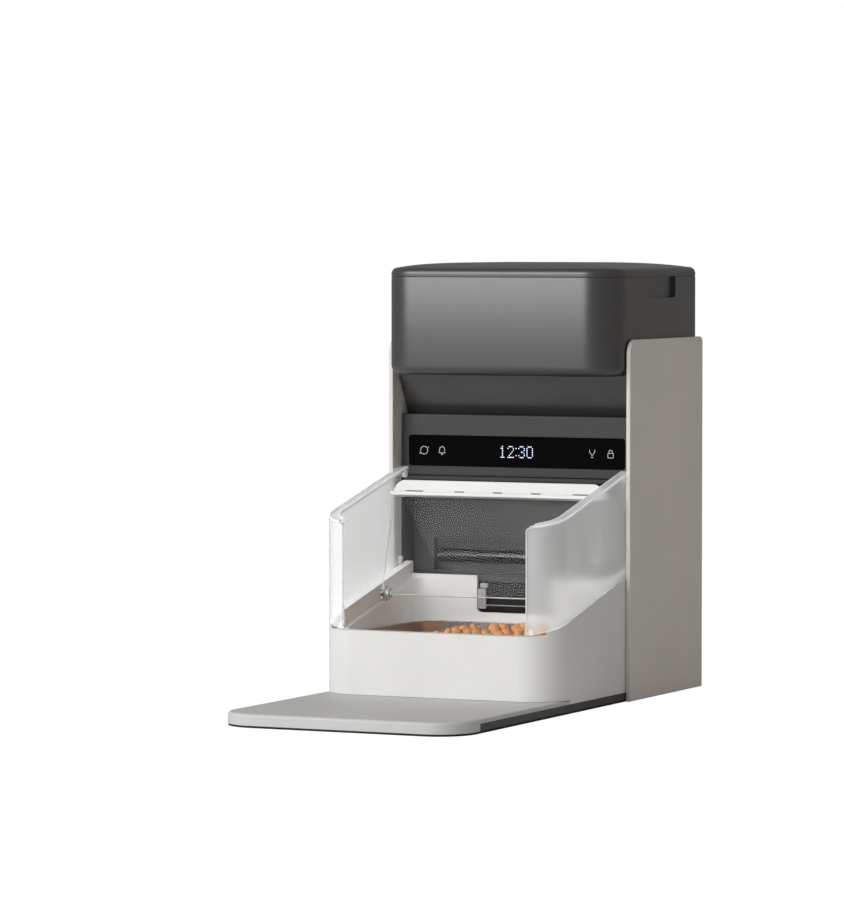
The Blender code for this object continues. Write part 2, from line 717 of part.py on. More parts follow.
def cut_drive_bay(housing):
    """Holes for the cover's pins, room for its ears and the bay for its gears and motor."""
    pin_hole = COVER_PIN_RADIUS + COVER_PIN_PLAY
    pin_end = BAY_OUTER_X + PIN_SEAT
    relief = COVER_EAR_RADIUS + 2 * GAP
    ear_inner = COVER_HALF_WIDTH - COVER_EAR_WIDTH - GAP
    for side in (-1, 1):
        ends = sorted((side * (TUB_HALF_WIDTH - OVERRUN), side * pin_end))
        cut(housing, rod(pin_hole, ends[0], ends[1], "X", COVER_AXIS[1:]))
        ends = sorted((side * ear_inner, side * (TUB_HALF_WIDTH + GAP)))
        cut(housing, rod(relief, ends[0], ends[1], "X", COVER_AXIS[1:], ROUND_SIDES))
    gear_side = COVER_GEAR_X - 2 * GAP
    cut(housing, prism(gear_bay_outline(), gear_side, BAY_OUTER_X, "X"))
    half = BAY_HALF_LENGTH - GAP
    cut(housing, box(BAY_INNER_X, gear_side + GAP, COVER_AXIS_Y - half, COVER_AXIS_Y + half,
                     -2 * OVERRUN, BAY_SHOULDER_Z - GAP))


def make_housing():
    wide = HALF_WIDTH + OVERRUN
    low = PLATE_BOTTOM
    top = RIM_REAR_Z + 2 * OVERRUN
    housing = prism(front_outline(HALF_WIDTH, HOUSING_REACH, HOUSING_BACK, HOUSING_CORNER), low, top)
    keep_inside(housing, prism(side_profile(RAIL_RISE, low - OVERRUN), -wide, wide, "X"))
    cut(housing, box(-wide, wide, -STEP_REACH, -PLATE_BACK + GAP, low - OVERRUN, PLATE_TOP + GAP))
    cut(housing, housing_seat_cutter())
    cut_tub(housing, top + OVERRUN)
    cut_drive_bay(housing)
    wall = HOUSING_WALL
    shell = front_outline(HALF_WIDTH, HOUSING_REACH, HOUSING_BACK - wall, HOUSING_CORNER, wall)
    hollow = prism(shell, -OVERRUN, HOLLOW_CEILING)
    cut(hollow, prism(bowl_hole(BOWL_LOOSE + wall), -2 * OVERRUN, HOLLOW_CEILING + OVERRUN))
    cut(housing, hollow)
    finish_part(housing, "bowl_housing", WHITE, 0.4)


def bowl_plan(inset, z):
    """Plan of the bowl at a height, drawn in from the flange's edge."""
    outline = rectangle(-BOWL_HALF_WIDTH + inset, BOWL_HALF_WIDTH - inset, -BOWL_FRONT + inset,
                        BOWL_REAR - inset, BOWL_CORNER - inset)
    return [(x, y, z) for x, y in outline]


def bowl_wall(inset, bottom, radius, top):
    """Plans of one side of the sheet, from the bottom up: a round bottom edge, then upright."""
    plans = []
    for step in range(ARC_STEPS + 1):
        turn = math.pi / 2 * step / ARC_STEPS
        plans.append(bowl_plan(inset + radius * (1 - math.sin(turn)), bottom + radius * (1 - math.cos(turn))))
    return plans + [bowl_plan(inset, top)]


def make_bowl():
    carrier = axis_empty("bowl_axis", (0, (BOWL_REAR - BOWL_FRONT) / 2, BOWL_RIM_Z))
    bottom = BOWL_RIM_Z - BOWL_DEPTH
    under = BOWL_RIM_Z - BOWL_SHEET
    outside = bowl_wall(BOWL_FLANGE, bottom, BOWL_BOTTOM_ROUND, under)
    inside = bowl_wall(
        BOWL_FLANGE + BOWL_SHEET, bottom + BOWL_SHEET, BOWL_BOTTOM_ROUND - BOWL_SHEET, BOWL_RIM_Z)
    flange = [bowl_plan(0, under), bowl_plan(0, BOWL_RIM_Z)]
    bowl = loft("bowl", outside + flange + inside[::-1])
    finish_part(bowl, "bowl", STEEL, 0.3, 1.0, carrier=carrier)


def guard_profile(drop):
    """Side view (y, z) under the guard's sloping top, lowered by a drop."""
    front = -HOUSING_REACH - OVERRUN
    back = GUARD_REAR + OVERRUN
    front_z = rim_z(-HOUSING_REACH) + GUARD_FRONT_HEIGHT
    rear_z = rim_z(GUARD_REAR) + GUARD_REAR_HEIGHT
    slope = (rear_z - front_z) / (GUARD_REAR + HOUSING_REACH)
    return [
        Vector((front, 0)), Vector((back, 0)),
        Vector((back, rear_z + slope * OVERRUN - drop)),
        Vector((front, front_z - slope * OVERRUN - drop)),
    ]


def make_guards():
    wide = HALF_WIDTH + OVERRUN
    for name, side in (("guard_left", -1), ("guard_right", 1)):
        plan = front_outline(HALF_WIDTH, HOUSING_REACH, GUARD_REAR, HOUSING_CORNER)
        guard = prism(plan, 0, PANEL_HEIGHT)
        keep_inside(guard, prism(guard_profile(0.0), -wide, wide, "X"))
        inner = front_outline(HALF_WIDTH, HOUSING_REACH, GUARD_REAR + OVERRUN, HOUSING_CORNER, GUARD_FLANGE)
        cut(guard, prism(inner, -OVERRUN, PANEL_HEIGHT + OVERRUN))
        under = front_outline(HALF_WIDTH, HOUSING_REACH, GUARD_REAR + OVERRUN, HOUSING_CORNER, GUARD_SHEET)
        hollow = prism(under, -OVERRUN, PANEL_HEIGHT)
        keep_inside(hollow, prism(guard_profile(GUARD_SHEET), -wide, wide, "X"))
        cut(guard, hollow)
        cut(guard, prism(side_profile(GAP, -OVERRUN), -wide, wide, "X"))
        away = sorted((side * GUARD_FRONT_HALF, -side * wide))
        behind = HOUSING_BACK + OVERRUN
        cut(guard, box(away[0], away[1], -STEP_REACH, behind, -OVERRUN, PANEL_HEIGHT + OVERRUN))
        finish_part(guard, name, CLEAR, 0.15, 0.0, 0.35)


def leaned(obj):
    """Turns a piece made upright on the cover's axis to the open cover's lean."""
    point = Vector(COVER_AXIS)
    lean = Matrix.Rotation(-COVER_LEAN, 4, "X")
    obj.data.transform(Matrix.Translation(point) @ lean @ Matrix.Translation(-point))
    return obj


def corner_outline(side, half, top, radius):
    """What a round upper corner leaves outside it, as (x, z)."""
    centre = Vector((side * (half - radius), top - radius))
    turns = [math.pi / 2 * step / ARC_STEPS for step in range(ARC_STEPS + 1)]
    arc = [centre + Vector((side * radius * math.cos(t), radius * math.sin(t))) for t in turns]
    far_x = side * (half + OVERRUN)
    far_z = top + OVERRUN
    return arc + [Vector((centre.x, far_z)), Vector((far_x, far_z)), Vector((far_x, centre.y))]


def make_cover():
    carrier = axis_empty("cover_axis", COVER_AXIS)
    half = COVER_HALF_WIDTH
    y_back = COVER_AXIS_Y + COVER_SHEET / 2
    y_front = COVER_AXIS_Y - COVER_SHEET / 2
    bar_top = COVER_AXIS_Z + COVER_REACH
    bar_bottom = bar_top - COVER_BAR_HEIGHT - COVER_LIP_HEIGHT
    lip_front = y_front - COVER_LIP_DEPTH
    lip_top = bar_bottom + COVER_LIP_HEIGHT
    bar_profile = [
        Vector((lip_front, bar_bottom)), Vector((y_back, bar_bottom)), Vector((y_back, bar_top)),
        Vector((y_front, bar_top)), Vector((y_front, lip_top)), Vector((lip_front, lip_top))]
    bar = leaned(prism(bar_profile, -half, half, "X"))
    for side in (-1, 1):
        corner = corner_outline(side, half, bar_top, COVER_BAR_HEIGHT)
        cut(bar, leaned(prism(corner, y_front - OVERRUN, y_back + OVERRUN, "Y")))
    slot_low = bar_bottom + COVER_LIP_HEIGHT
    slots = [(index * SLOT_PITCH, SLOT_WIDTH) for index in (-1, 0, 1)]
    slots += [(-WIDE_SLOT_PLACE, WIDE_SLOT_WIDTH), (WIDE_SLOT_PLACE, WIDE_SLOT_WIDTH)]
    for middle, width in slots:
        slot = box(middle - width / 2, middle + width / 2, y_front - OVERRUN, y_back + OVERRUN,
                   slot_low, slot_low + SLOT_HEIGHT)
        cut(bar, leaned(slot))
    finish_part(bar, "cover_bar", WHITE, 0.4, carrier=carrier)

    panel = leaned(box(-half, half, y_front, y_back, COVER_AXIS_Z, bar_bottom - GAP))
    for side in (-1, 1):
        ends = sorted((side * (half - GAP), side * (half - COVER_EAR_WIDTH)))
        join(panel, rod(COVER_EAR_RADIUS, ends[0], ends[1], "X", COVER_AXIS[1:], ROUND_SIDES))
        hole_ends = sorted((side * (half + OVERRUN), side * (half - 2 * COVER_EAR_WIDTH)))
        hole = rod(COVER_PIN_RADIUS + GAP, hole_ends[0], hole_ends[1], "X", COVER_AXIS[1:])
        cut(panel, hole)
    finish_part(panel, "cover_panel", CLEAR, 0.12, 0.0, 0.35, carrier=carrier)

    pin_inner = half - 2 * COVER_EAR_WIDTH + GAP
    for name, side in (("cover_pin_left", -1), ("cover_pin_right", 1)):
        ends = sorted((side * pin_inner, side * (BAY_OUTER_X + PIN_SEAT - GAP)))
        pin = rod(COVER_PIN_RADIUS, ends[0], ends[1], "X", COVER_AXIS[1:])
        finish_part(pin, name, STEEL, 0.3, 1.0, carrier=carrier)

    x_low = COVER_GEAR_X
    x_high = COVER_GEAR_X + COVER_GEAR_WIDTH
    cover_gear = gear(COVER_GEAR_TEETH, x_low, x_high, COVER_AXIS, COVER_PIN_RADIUS + GAP, 0.0)
    finish_part(cover_gear, "cover_gear", ACETAL, 0.45, carrier=carrier)
    drive = axis_empty("cover_drive_axis", DRIVE_AXIS)
    drive_gear = gear(DRIVE_GEAR_TEETH, x_low, x_high, DRIVE_AXIS, COVER_MOTOR_SHAFT_RADIUS + GAP, 0.0)
    finish_part(drive_gear, "cover_drive_gear", ACETAL, 0.45, carrier=drive)
    motor_x = COVER_MOTOR_X
    motor_end = motor_x + COVER_MOTOR_LENGTH
    motor = rod(COVER_MOTOR_RADIUS, motor_x, motor_end, "X", DRIVE_AXIS[1:], ROUND_SIDES)
    join(motor, rod(COVER_MOTOR_SHAFT_RADIUS, motor_x + GAP, x_high, "X", DRIVE_AXIS[1:]))
    finish_part(motor, "cover_motor", STEEL, 0.35, 1.0)


def make_outlet():
    half = OUTLET_FRAME_HALF_WIDTH
    low = NOTCH_BOTTOM + GAP
    back = OUTLET_FRAME_BACK
    outer = rectangle(-half, half, low, OUTLET_FRAME_TOP, NOTCH_CORNER)
    frame = prism(outer, back - OUTLET_FRAME_SHEET, back, "Y")
    inner = half - OUTLET_FRAME_LEG
    sill = low + OUTLET_FRAME_SILL
    top = OUTLET_FRAME_TOP - OUTLET_FRAME_SHEET
    cut(frame, prism(rectangle(-inner, inner, sill, top), 0, HOUSING_BACK + OVERRUN, "Y"))
    finish_part(frame, "outlet_frame", CLEAR, 0.15, 0.0, 0.4)

    carrier = axis_empty("outlet_flap_axis", FLAP_AXIS)
    flap_y = (FLAP_AXIS[1] - FLAP_SHEET / 2, FLAP_AXIS[1] + FLAP_SHEET / 2)
    flap = box(-FLAP_HALF_WIDTH, FLAP_HALF_WIDTH, *flap_y, sill + GAP, FLAP_AXIS[2])
    join(flap, rod(FLAP_PIN_RADIUS, -half, half, "X", FLAP_AXIS[1:]))
    finish_part(flap, "outlet_flap", BLACK, 0.15, carrier=carrier)


def make_body():
    wide = HALF_WIDTH + OVERRUN
    step_z = rim_z(HOUSING_BACK) + RAIL_RISE + GAP
    fascia_back = BODY_FRONT + FASCIA_SHEET + GAP
    shelf_back = BODY_FRONT + FASCIA_SHELF_DEPTH + GAP
    shelf_low = FASCIA_TOP - FASCIA_SHELF_SHEET - GAP
    profile = [
        Vector((LOWER_FRONT, PLATE_BOTTOM)), Vector((BODY_BACK, PLATE_BOTTOM)),
        Vector((BODY_BACK, BODY_TOP)), Vector((shelf_back, BODY_TOP)), Vector((shelf_back, shelf_low)),
        Vector((fascia_back, shelf_low)), Vector((fascia_back, FASCIA_BOTTOM - GAP)),
        Vector((BODY_FRONT, FASCIA_BOTTOM - GAP)),
        Vector((BODY_FRONT, step_z)), Vector((LOWER_FRONT, step_z))]
    body = prism(profile, -HALF_WIDTH, HALF_WIDTH, "X")
    open_back = BODY_BACK + OVERRUN
    hollow_front = LOWER_FRONT + LOWER_WALL
    floor = PLATE_BOTTOM + BODY_WALL
    ceiling = BODY_TOP - BODY_WALL
    behind_display = fascia_back + FASCIA_POCKET + 2 * BODY_WALL
    shoulder = CAVITY_BOTTOM - BODY_WALL
    hollow = [
        Vector((hollow_front, floor)), Vector((open_back, floor)), Vector((open_back, ceiling)),
        Vector((behind_display, ceiling)), Vector((behind_display, FASCIA_BOTTOM + BODY_WALL)),
        Vector((HOLLOW_FRONT, CAVITY_TOP)), Vector((HOLLOW_FRONT, shoulder)),
        Vector((hollow_front, shoulder))]
    inside = HALF_WIDTH - BODY_WALL
    cut(body, prism(hollow, -inside, inside, "X"))
    cavity_top_back = BODY_FRONT + CAVITY_TOP_DEPTH
    cavity = rounded([
        (-OVERRUN, CAVITY_BOTTOM, 0), (CAVITY_BACK, CAVITY_BOTTOM, 0),
        (CAVITY_BACK, CAVITY_BEND_Z, CAVITY_TOP_DEPTH), (cavity_top_back, CAVITY_TOP, 0),
        (-OVERRUN, CAVITY_TOP, 0)])
    cavity_side = HALF_WIDTH - CAVITY_SIDE
    cut(body, prism(cavity, -cavity_side, cavity_side, "X"))
    recess_back = CAVITY_BACK + RECESS_DEPTH
    cut(body, box(-RECESS_HALF_WIDTH, RECESS_HALF_WIDTH, 0, recess_back, RECESS_BOTTOM, RECESS_TOP))
    pocket_back = fascia_back + FASCIA_POCKET
    side = DISPLAY_HALF_WIDTH
    cut(body, box(-side, side, 0, pocket_back, DISPLAY_BOTTOM, DISPLAY_TOP))
    out = OUTLET_HALF_WIDTH
    cut(body, box(-out, out, 0, hollow_front + OVERRUN, OUTLET_BOTTOM, OUTLET_TOP))
    half = HOPPER_OUTLET_HALF
    cut(body, box(-half, half, WHEEL_Y - half, WHEEL_Y + half, ceiling - OVERRUN, BODY_TOP + OVERRUN))
    for x, z in screw_places():
        cut(body, rod(SCREW_SHANK_RADIUS + GAP, BODY_BACK - SCREW_LENGTH, open_back, "Y", (x, z)))
    pin_room = FLAP_AXIS[1] + FLAP_PIN_RADIUS + GAP
    room = OUTLET_FRAME_HALF_WIDTH + GAP
    cut(body, box(-room, room, 0, pin_room, NOTCH_BOTTOM, OUTLET_FRAME_TOP))
    finish_part(body, "rear_body", CHARCOAL, 0.45)

    middle_y = recess_back - GAP
    reach = SENSOR_BAR_RADIUS
    bar_outline = []
    for step in range(ARC_STEPS + 1):
        turn = math.pi / 2 + math.pi * step / ARC_STEPS
        y = middle_y + reach * math.cos(turn)
        bar_outline.append(Vector((y, SENSOR_BAR_Z + reach * math.sin(turn))))
    bar = prism(bar_outline, -SENSOR_BAR_HALF_LENGTH, SENSOR_BAR_HALF_LENGTH, "X")
    finish_part(bar, "sensor_bar", CHARCOAL, 0.25)


def make_fascia():
    side = FASCIA_HALF_WIDTH
    front = BODY_FRONT
    face = prism(rectangle(-side, side, FASCIA_BOTTOM, FASCIA_TOP), front, front + FASCIA_SHEET, "Y")
    round_edges(face, FASCIA_ROUND, lambda a, b: abs(a.y - front) < GAP and abs(b.y - front) < GAP)
    shelf_back = front + FASCIA_SHELF_DEPTH
    shelf_low = FASCIA_TOP - FASCIA_SHELF_SHEET
    join(face, box(-side, side, front + FASCIA_SHEET / 2, shelf_back, shelf_low, FASCIA_TOP - GAP))
    window = rectangle(-DISPLAY_HALF_WIDTH - GAP, DISPLAY_HALF_WIDTH + GAP, DISPLAY_BOTTOM - GAP,
                       DISPLAY_TOP + GAP, DISPLAY_CORNER)
    cut(face, prism(window, 0, BODY_FRONT + DISPLAY_SHEET + 2 * GAP, "Y"))
    half = BOARD_HALF_WIDTH - BOARD_MARGIN
    margin_low = DISPLAY_BOTTOM + BOARD_MARGIN
    margin_high = DISPLAY_TOP - BOARD_MARGIN
    cut(face, box(-half, half, 0, BODY_FRONT + OVERRUN, margin_low, margin_high))
    finish_part(face, "control_fascia", CHARCOAL, 0.4)
    side = DISPLAY_HALF_WIDTH
    glass_outline = rectangle(-side, side, DISPLAY_BOTTOM, DISPLAY_TOP, DISPLAY_CORNER)
    glass = prism(glass_outline, BODY_FRONT + GAP, BODY_FRONT + GAP + DISPLAY_SHEET, "Y")
    finish_part(glass, "display_lens", BLACK, 0.08)
    board_y = BODY_FRONT + FASCIA_SHEET + GAP
    board = box(-BOARD_HALF_WIDTH, BOARD_HALF_WIDTH, board_y, board_y + BOARD_SHEET,
                DISPLAY_BOTTOM + GAP, DISPLAY_TOP - GAP)
    finish_part(board, "display_board", BOARD_GREEN, 0.6)


def hopper_plan(inset=0.0):
    side = HOPPER_HALF_WIDTH - inset
    front = HOPPER_FRONT + inset
    back = HOPPER_BACK - inset
    rear_radius = max(HOPPER_REAR_CORNER - inset, GAP)
    return rounded([
        (-side, front, HOPPER_CORNER - inset), (side, front, HOPPER_CORNER - inset),
        (side, back, rear_radius), (-side, back, rear_radius)])


def hopper_throat(inset=0.0):
    """Side view (y, z) of the hopper: upright front, chin and a throat down to the fascia's shelf."""
    drop = HOPPER_CHIN_Z - HOPPER_THROAT_Z
    shelf_y = BODY_FRONT + FASCIA_SHELF_DEPTH
    front = HOPPER_FRONT + inset
    low = HOPPER_BOTTOM + inset
    top = HOPPER_TOP + OVERRUN
    return rounded([
        (front - OVERRUN, top, 0), (front - OVERRUN, HOPPER_CHIN_Z + inset - drop * CHIN_FRONT_SHARE, 0),
        (front + drop, HOPPER_CHIN_Z + inset - drop * CHIN_SLOPE_SHARE, drop),
        (BODY_FRONT - drop / 2 + inset, HOPPER_THROAT_Z + inset, drop),
        (shelf_y + inset, low, 0), (HOPPER_BACK + OVERRUN, low, 0), (HOPPER_BACK + OVERRUN, top, 0)])


def make_hopper():
    wide = HALF_WIDTH + OVERRUN
    hopper = prism(hopper_plan(), HOPPER_BOTTOM, HOPPER_TOP)
    keep_inside(hopper, prism(hopper_throat(), -wide, wide, "X"))
    store = prism(hopper_plan(HOPPER_WALL), HOPPER_SLOPE_Z, HOPPER_TOP + OVERRUN)
    cut(hopper, store)
    funnel = funnel_cutter()
    cut(hopper, funnel)
    for side in (-1, 1):
        low_z = HOPPER_TOP - FINGER_HEIGHT
        outline = rounded([
            (FINGER_START, low_z, FINGER_CORNER), (FINGER_END, low_z, FINGER_CORNER),
            (FINGER_END, HOPPER_TOP + OVERRUN, 0), (FINGER_START, HOPPER_TOP + OVERRUN, 0)])
        ends = sorted((side * (HOPPER_HALF_WIDTH - FINGER_DEPTH), side * wide))
        cut(hopper, prism(outline, ends[0], ends[1], "X"))
    finish_part(hopper, "hopper_shell", CHARCOAL, 0.45)


def funnel_cutter():
    """Inside of the funnel: a loft from the hopper's floor edge down to its outlet."""
    side = HOPPER_HALF_WIDTH - HOPPER_CORNER
    front = BODY_FRONT + FASCIA_SHELF_DEPTH + HOPPER_WALL
    back = HOPPER_BACK - HOPPER_CORNER + HOPPER_WALL
    half = HOPPER_OUTLET_HALF
    mouth = rectangle(-side, side, front, back)
    outlet = rectangle(-half, half, WHEEL_Y - half, WHEEL_Y + half)
    sections = (
        (mouth, HOPPER_SLOPE_Z + OVERRUN), (mouth, HOPPER_SLOPE_Z - GAP),
        (outlet, HOPPER_BOTTOM + HOPPER_WALL), (outlet, HOPPER_BOTTOM - OVERRUN))
    return loft("funnel", [[(x, y, z) for x, y in outline] for outline, z in sections])


def make_lid():
    carrier = axis_empty("lid_axis", (0, (HOPPER_FRONT + HOPPER_BACK) / 2, HOPPER_TOP))
    top = LID_BOTTOM + LID_HEIGHT - GAP
    lid = prism(hopper_plan(), LID_BOTTOM, top)
    round_edges(lid, LID_ROUND, level(top), 5)
    pocket_top = top - LID_WALL
    cut(lid, prism(hopper_plan(LID_WALL), LID_BOTTOM - OVERRUN, pocket_top))
    finish_part(lid, "hopper_lid", CHARCOAL, 0.45, carrier=carrier)
    seal = prism(hopper_plan(HOPPER_WALL + LID_PLAY), LID_BOTTOM - SEAL_DROP, pocket_top - GAP)
    cut(seal, prism(hopper_plan(HOPPER_WALL + LID_PLAY + SEAL_WIDTH), 0, HOPPER_TOP + LID_HEIGHT))
    finish_part(seal, "lid_seal", SILICONE, 0.6, carrier=carrier)
    half_x = DESICCANT_LENGTH / 2
    middle_y = (HOPPER_FRONT + HOPPER_BACK) / 2
    low_y = middle_y - DESICCANT_DEPTH / 2
    outline = rectangle(-half_x, half_x, low_y, low_y + DESICCANT_DEPTH, DESICCANT_CORNER)
    tray = prism(outline, pocket_top - GAP - DESICCANT_HEIGHT, pocket_top - GAP)
    finish_part(tray, "desiccant_box", WHITE, 0.5, carrier=carrier)


def make_side_panels():
    corners = [
        (0, 0, 0), (PANEL_DEPTH, 0, 0), (PANEL_DEPTH, PANEL_HEIGHT, PANEL_REAR_CORNER),
        (0, PANEL_HEIGHT, PANEL_CORNER)]
    inner = WIDTH / 2 - PANEL_THICKNESS
    for name, side in (("side_panel_left", -1), ("side_panel_right", 1)):
        ends = sorted((side * inner, side * WIDTH / 2))
        panel = prism(rounded(corners), ends[0], ends[1], "X")
        outer = side * WIDTH / 2

        def on_face(a, b, x=outer):
            return abs(a.x - x) < GAP and abs(b.x - x) < GAP

        round_edges(panel, PANEL_EDGE_ROUND, on_face, 2)
        finish_part(panel, name, STONE, 0.5)


def make_dispenser():
    carrier = axis_empty("portion_wheel_axis", WHEEL_AXIS)
    centre = WHEEL_AXIS[1:]
    drum_half = DRUM_HALF_LENGTH
    drum = rod(DRUM_RADIUS, -drum_half, drum_half, "X", centre, ROUND_SIDES)
    ceiling = BODY_TOP - BODY_WALL - GAP
    inner_half = drum_half - DRUM_WALL
    drum_low = WHEEL_Y - DRUM_RADIUS
    join(drum, box(-drum_half, drum_half, drum_low, WHEEL_Y + DRUM_RADIUS, WHEEL_Z, ceiling))
    cut(drum, rod(DRUM_RADIUS - DRUM_WALL, -inner_half, inner_half, "X", centre, ROUND_SIDES))
    mouth = DRUM_MOUTH_HALF
    cut(drum, box(-inner_half, inner_half, WHEEL_Y - mouth, WHEEL_Y + mouth,
                  WHEEL_Z - DRUM_RADIUS - OVERRUN, ceiling + OVERRUN))
    cut(drum, rod(SHAFT_RADIUS + SHAFT_PLAY, -drum_half - OVERRUN, drum_half + OVERRUN, "X", centre))
    finish_part(drum, "dispenser_drum", WHITE, 0.5)

    shaft = rod(SHAFT_RADIUS, -drum_half - DRUM_WALL, WHEEL_GEAR_X + WHEEL_GEAR_WIDTH, "X", centre)
    finish_part(shaft, "portion_shaft", STEEL, 0.3, 1.0, carrier=carrier)
    wheel = rod(WHEEL_HUB_RADIUS, -WHEEL_HALF_LENGTH, WHEEL_HALF_LENGTH, "X", centre)
    point = Vector(WHEEL_AXIS)
    for blade in range(WHEEL_BLADES):
        sheet = WHEEL_BLADE_SHEET / 2
        low = WHEEL_HUB_RADIUS - WHEEL_BLADE_SHEET
        vane = box(-WHEEL_HALF_LENGTH, WHEEL_HALF_LENGTH, WHEEL_Y - sheet, WHEEL_Y + sheet,
                   WHEEL_Z + low, WHEEL_Z + WHEEL_RADIUS)
        turn = Matrix.Rotation(math.pi * (2 * blade + 1) / WHEEL_BLADES, 4, "X")
        vane.data.transform(Matrix.Translation(point) @ turn @ Matrix.Translation(-point))
        join(wheel, vane)
    cut(wheel, rod(SHAFT_RADIUS + GAP, -DRUM_HALF_LENGTH, DRUM_HALF_LENGTH, "X", centre))
    finish_part(wheel, "portion_wheel", SILICONE, 0.7, carrier=carrier)
    x_low = WHEEL_GEAR_X
    x_high = WHEEL_GEAR_X + WHEEL_GEAR_WIDTH
    big = gear(WHEEL_GEAR_TEETH, x_low, x_high, WHEEL_AXIS, SHAFT_RADIUS + GAP, 0.0)
    finish_part(big, "portion_gear", ACETAL, 0.45, carrier=carrier)
    pinion_carrier = axis_empty("motor_pinion_axis", PINION_AXIS)
    half_tooth = 1 / 2
    pinion = gear(PINION_TEETH, x_low, x_high, PINION_AXIS, MOTOR_SHAFT_RADIUS + GAP, half_tooth)
    finish_part(pinion, "motor_pinion", ACETAL, 0.45, carrier=pinion_carrier)
    plate_back = PINION_AXIS[1] + MOTOR_RADIUS + GAP
    bracket_end = BRACKET_X + BRACKET_SHEET
    bracket = box(BRACKET_X, bracket_end, WHEEL_Y, plate_back, WHEEL_Z - BRACKET_MARGIN, ceiling)
    shaft_room = MOTOR_SHAFT_RADIUS + GAP
    cut(bracket, rod(shaft_room, BRACKET_X - OVERRUN, bracket_end + OVERRUN, "X", PINION_AXIS[1:]))
    finish_part(bracket, "motor_bracket", STEEL, 0.4, 1.0)
    motor_low = bracket_end + GAP
    motor = rod(MOTOR_RADIUS, motor_low, motor_low + MOTOR_LENGTH, "X", PINION_AXIS[1:], ROUND_SIDES)
    join(motor, rod(MOTOR_SHAFT_RADIUS, x_low, motor_low + GAP, "X", PINION_AXIS[1:]))
    finish_part(motor, "gear_motor", STEEL, 0.35, 1.0)


def chute_profile(inset, overrun):
    """Side view (y, z) of the chute: upright under the drum, then sloping forward to the outlet."""
    front = LOWER_FRONT + LOWER_WALL + GAP - overrun
    low = OUTLET_BOTTOM - CHUTE_WALL + inset
    high = OUTLET_TOP + CHUTE_WALL - inset
    bend_y = HOLLOW_FRONT - CHUTE_WALL
    top = CHUTE_TOP + overrun
    upright_front = CHUTE_TOP_FRONT + inset
    upright_rear = CHUTE_TOP_REAR - inset
    bend_z = CHUTE_BEND_Z - inset
    return [
        Vector((front, low)), Vector((bend_y + CHUTE_WALL - inset, low)), Vector((upright_rear, bend_z)),
        Vector((upright_rear, top)), Vector((upright_front, top)), Vector((upright_front, bend_z)),
        Vector((bend_y, high)), Vector((front, high))]


def make_chute():
    chute = prism(chute_profile(0.0, 0.0), -CHUTE_HALF_WIDTH, CHUTE_HALF_WIDTH, "X")
    inner = CHUTE_HALF_WIDTH - CHUTE_WALL
    cut(chute, prism(chute_profile(CHUTE_WALL, OVERRUN), -inner, inner, "X"))
    finish_part(chute, "food_chute", WHITE, 0.5)


def screw_places():
    return [(side * SCREW_X, z) for side in (-1, 1) for z in (SCREW_LOW_Z, SCREW_HIGH_Z)]


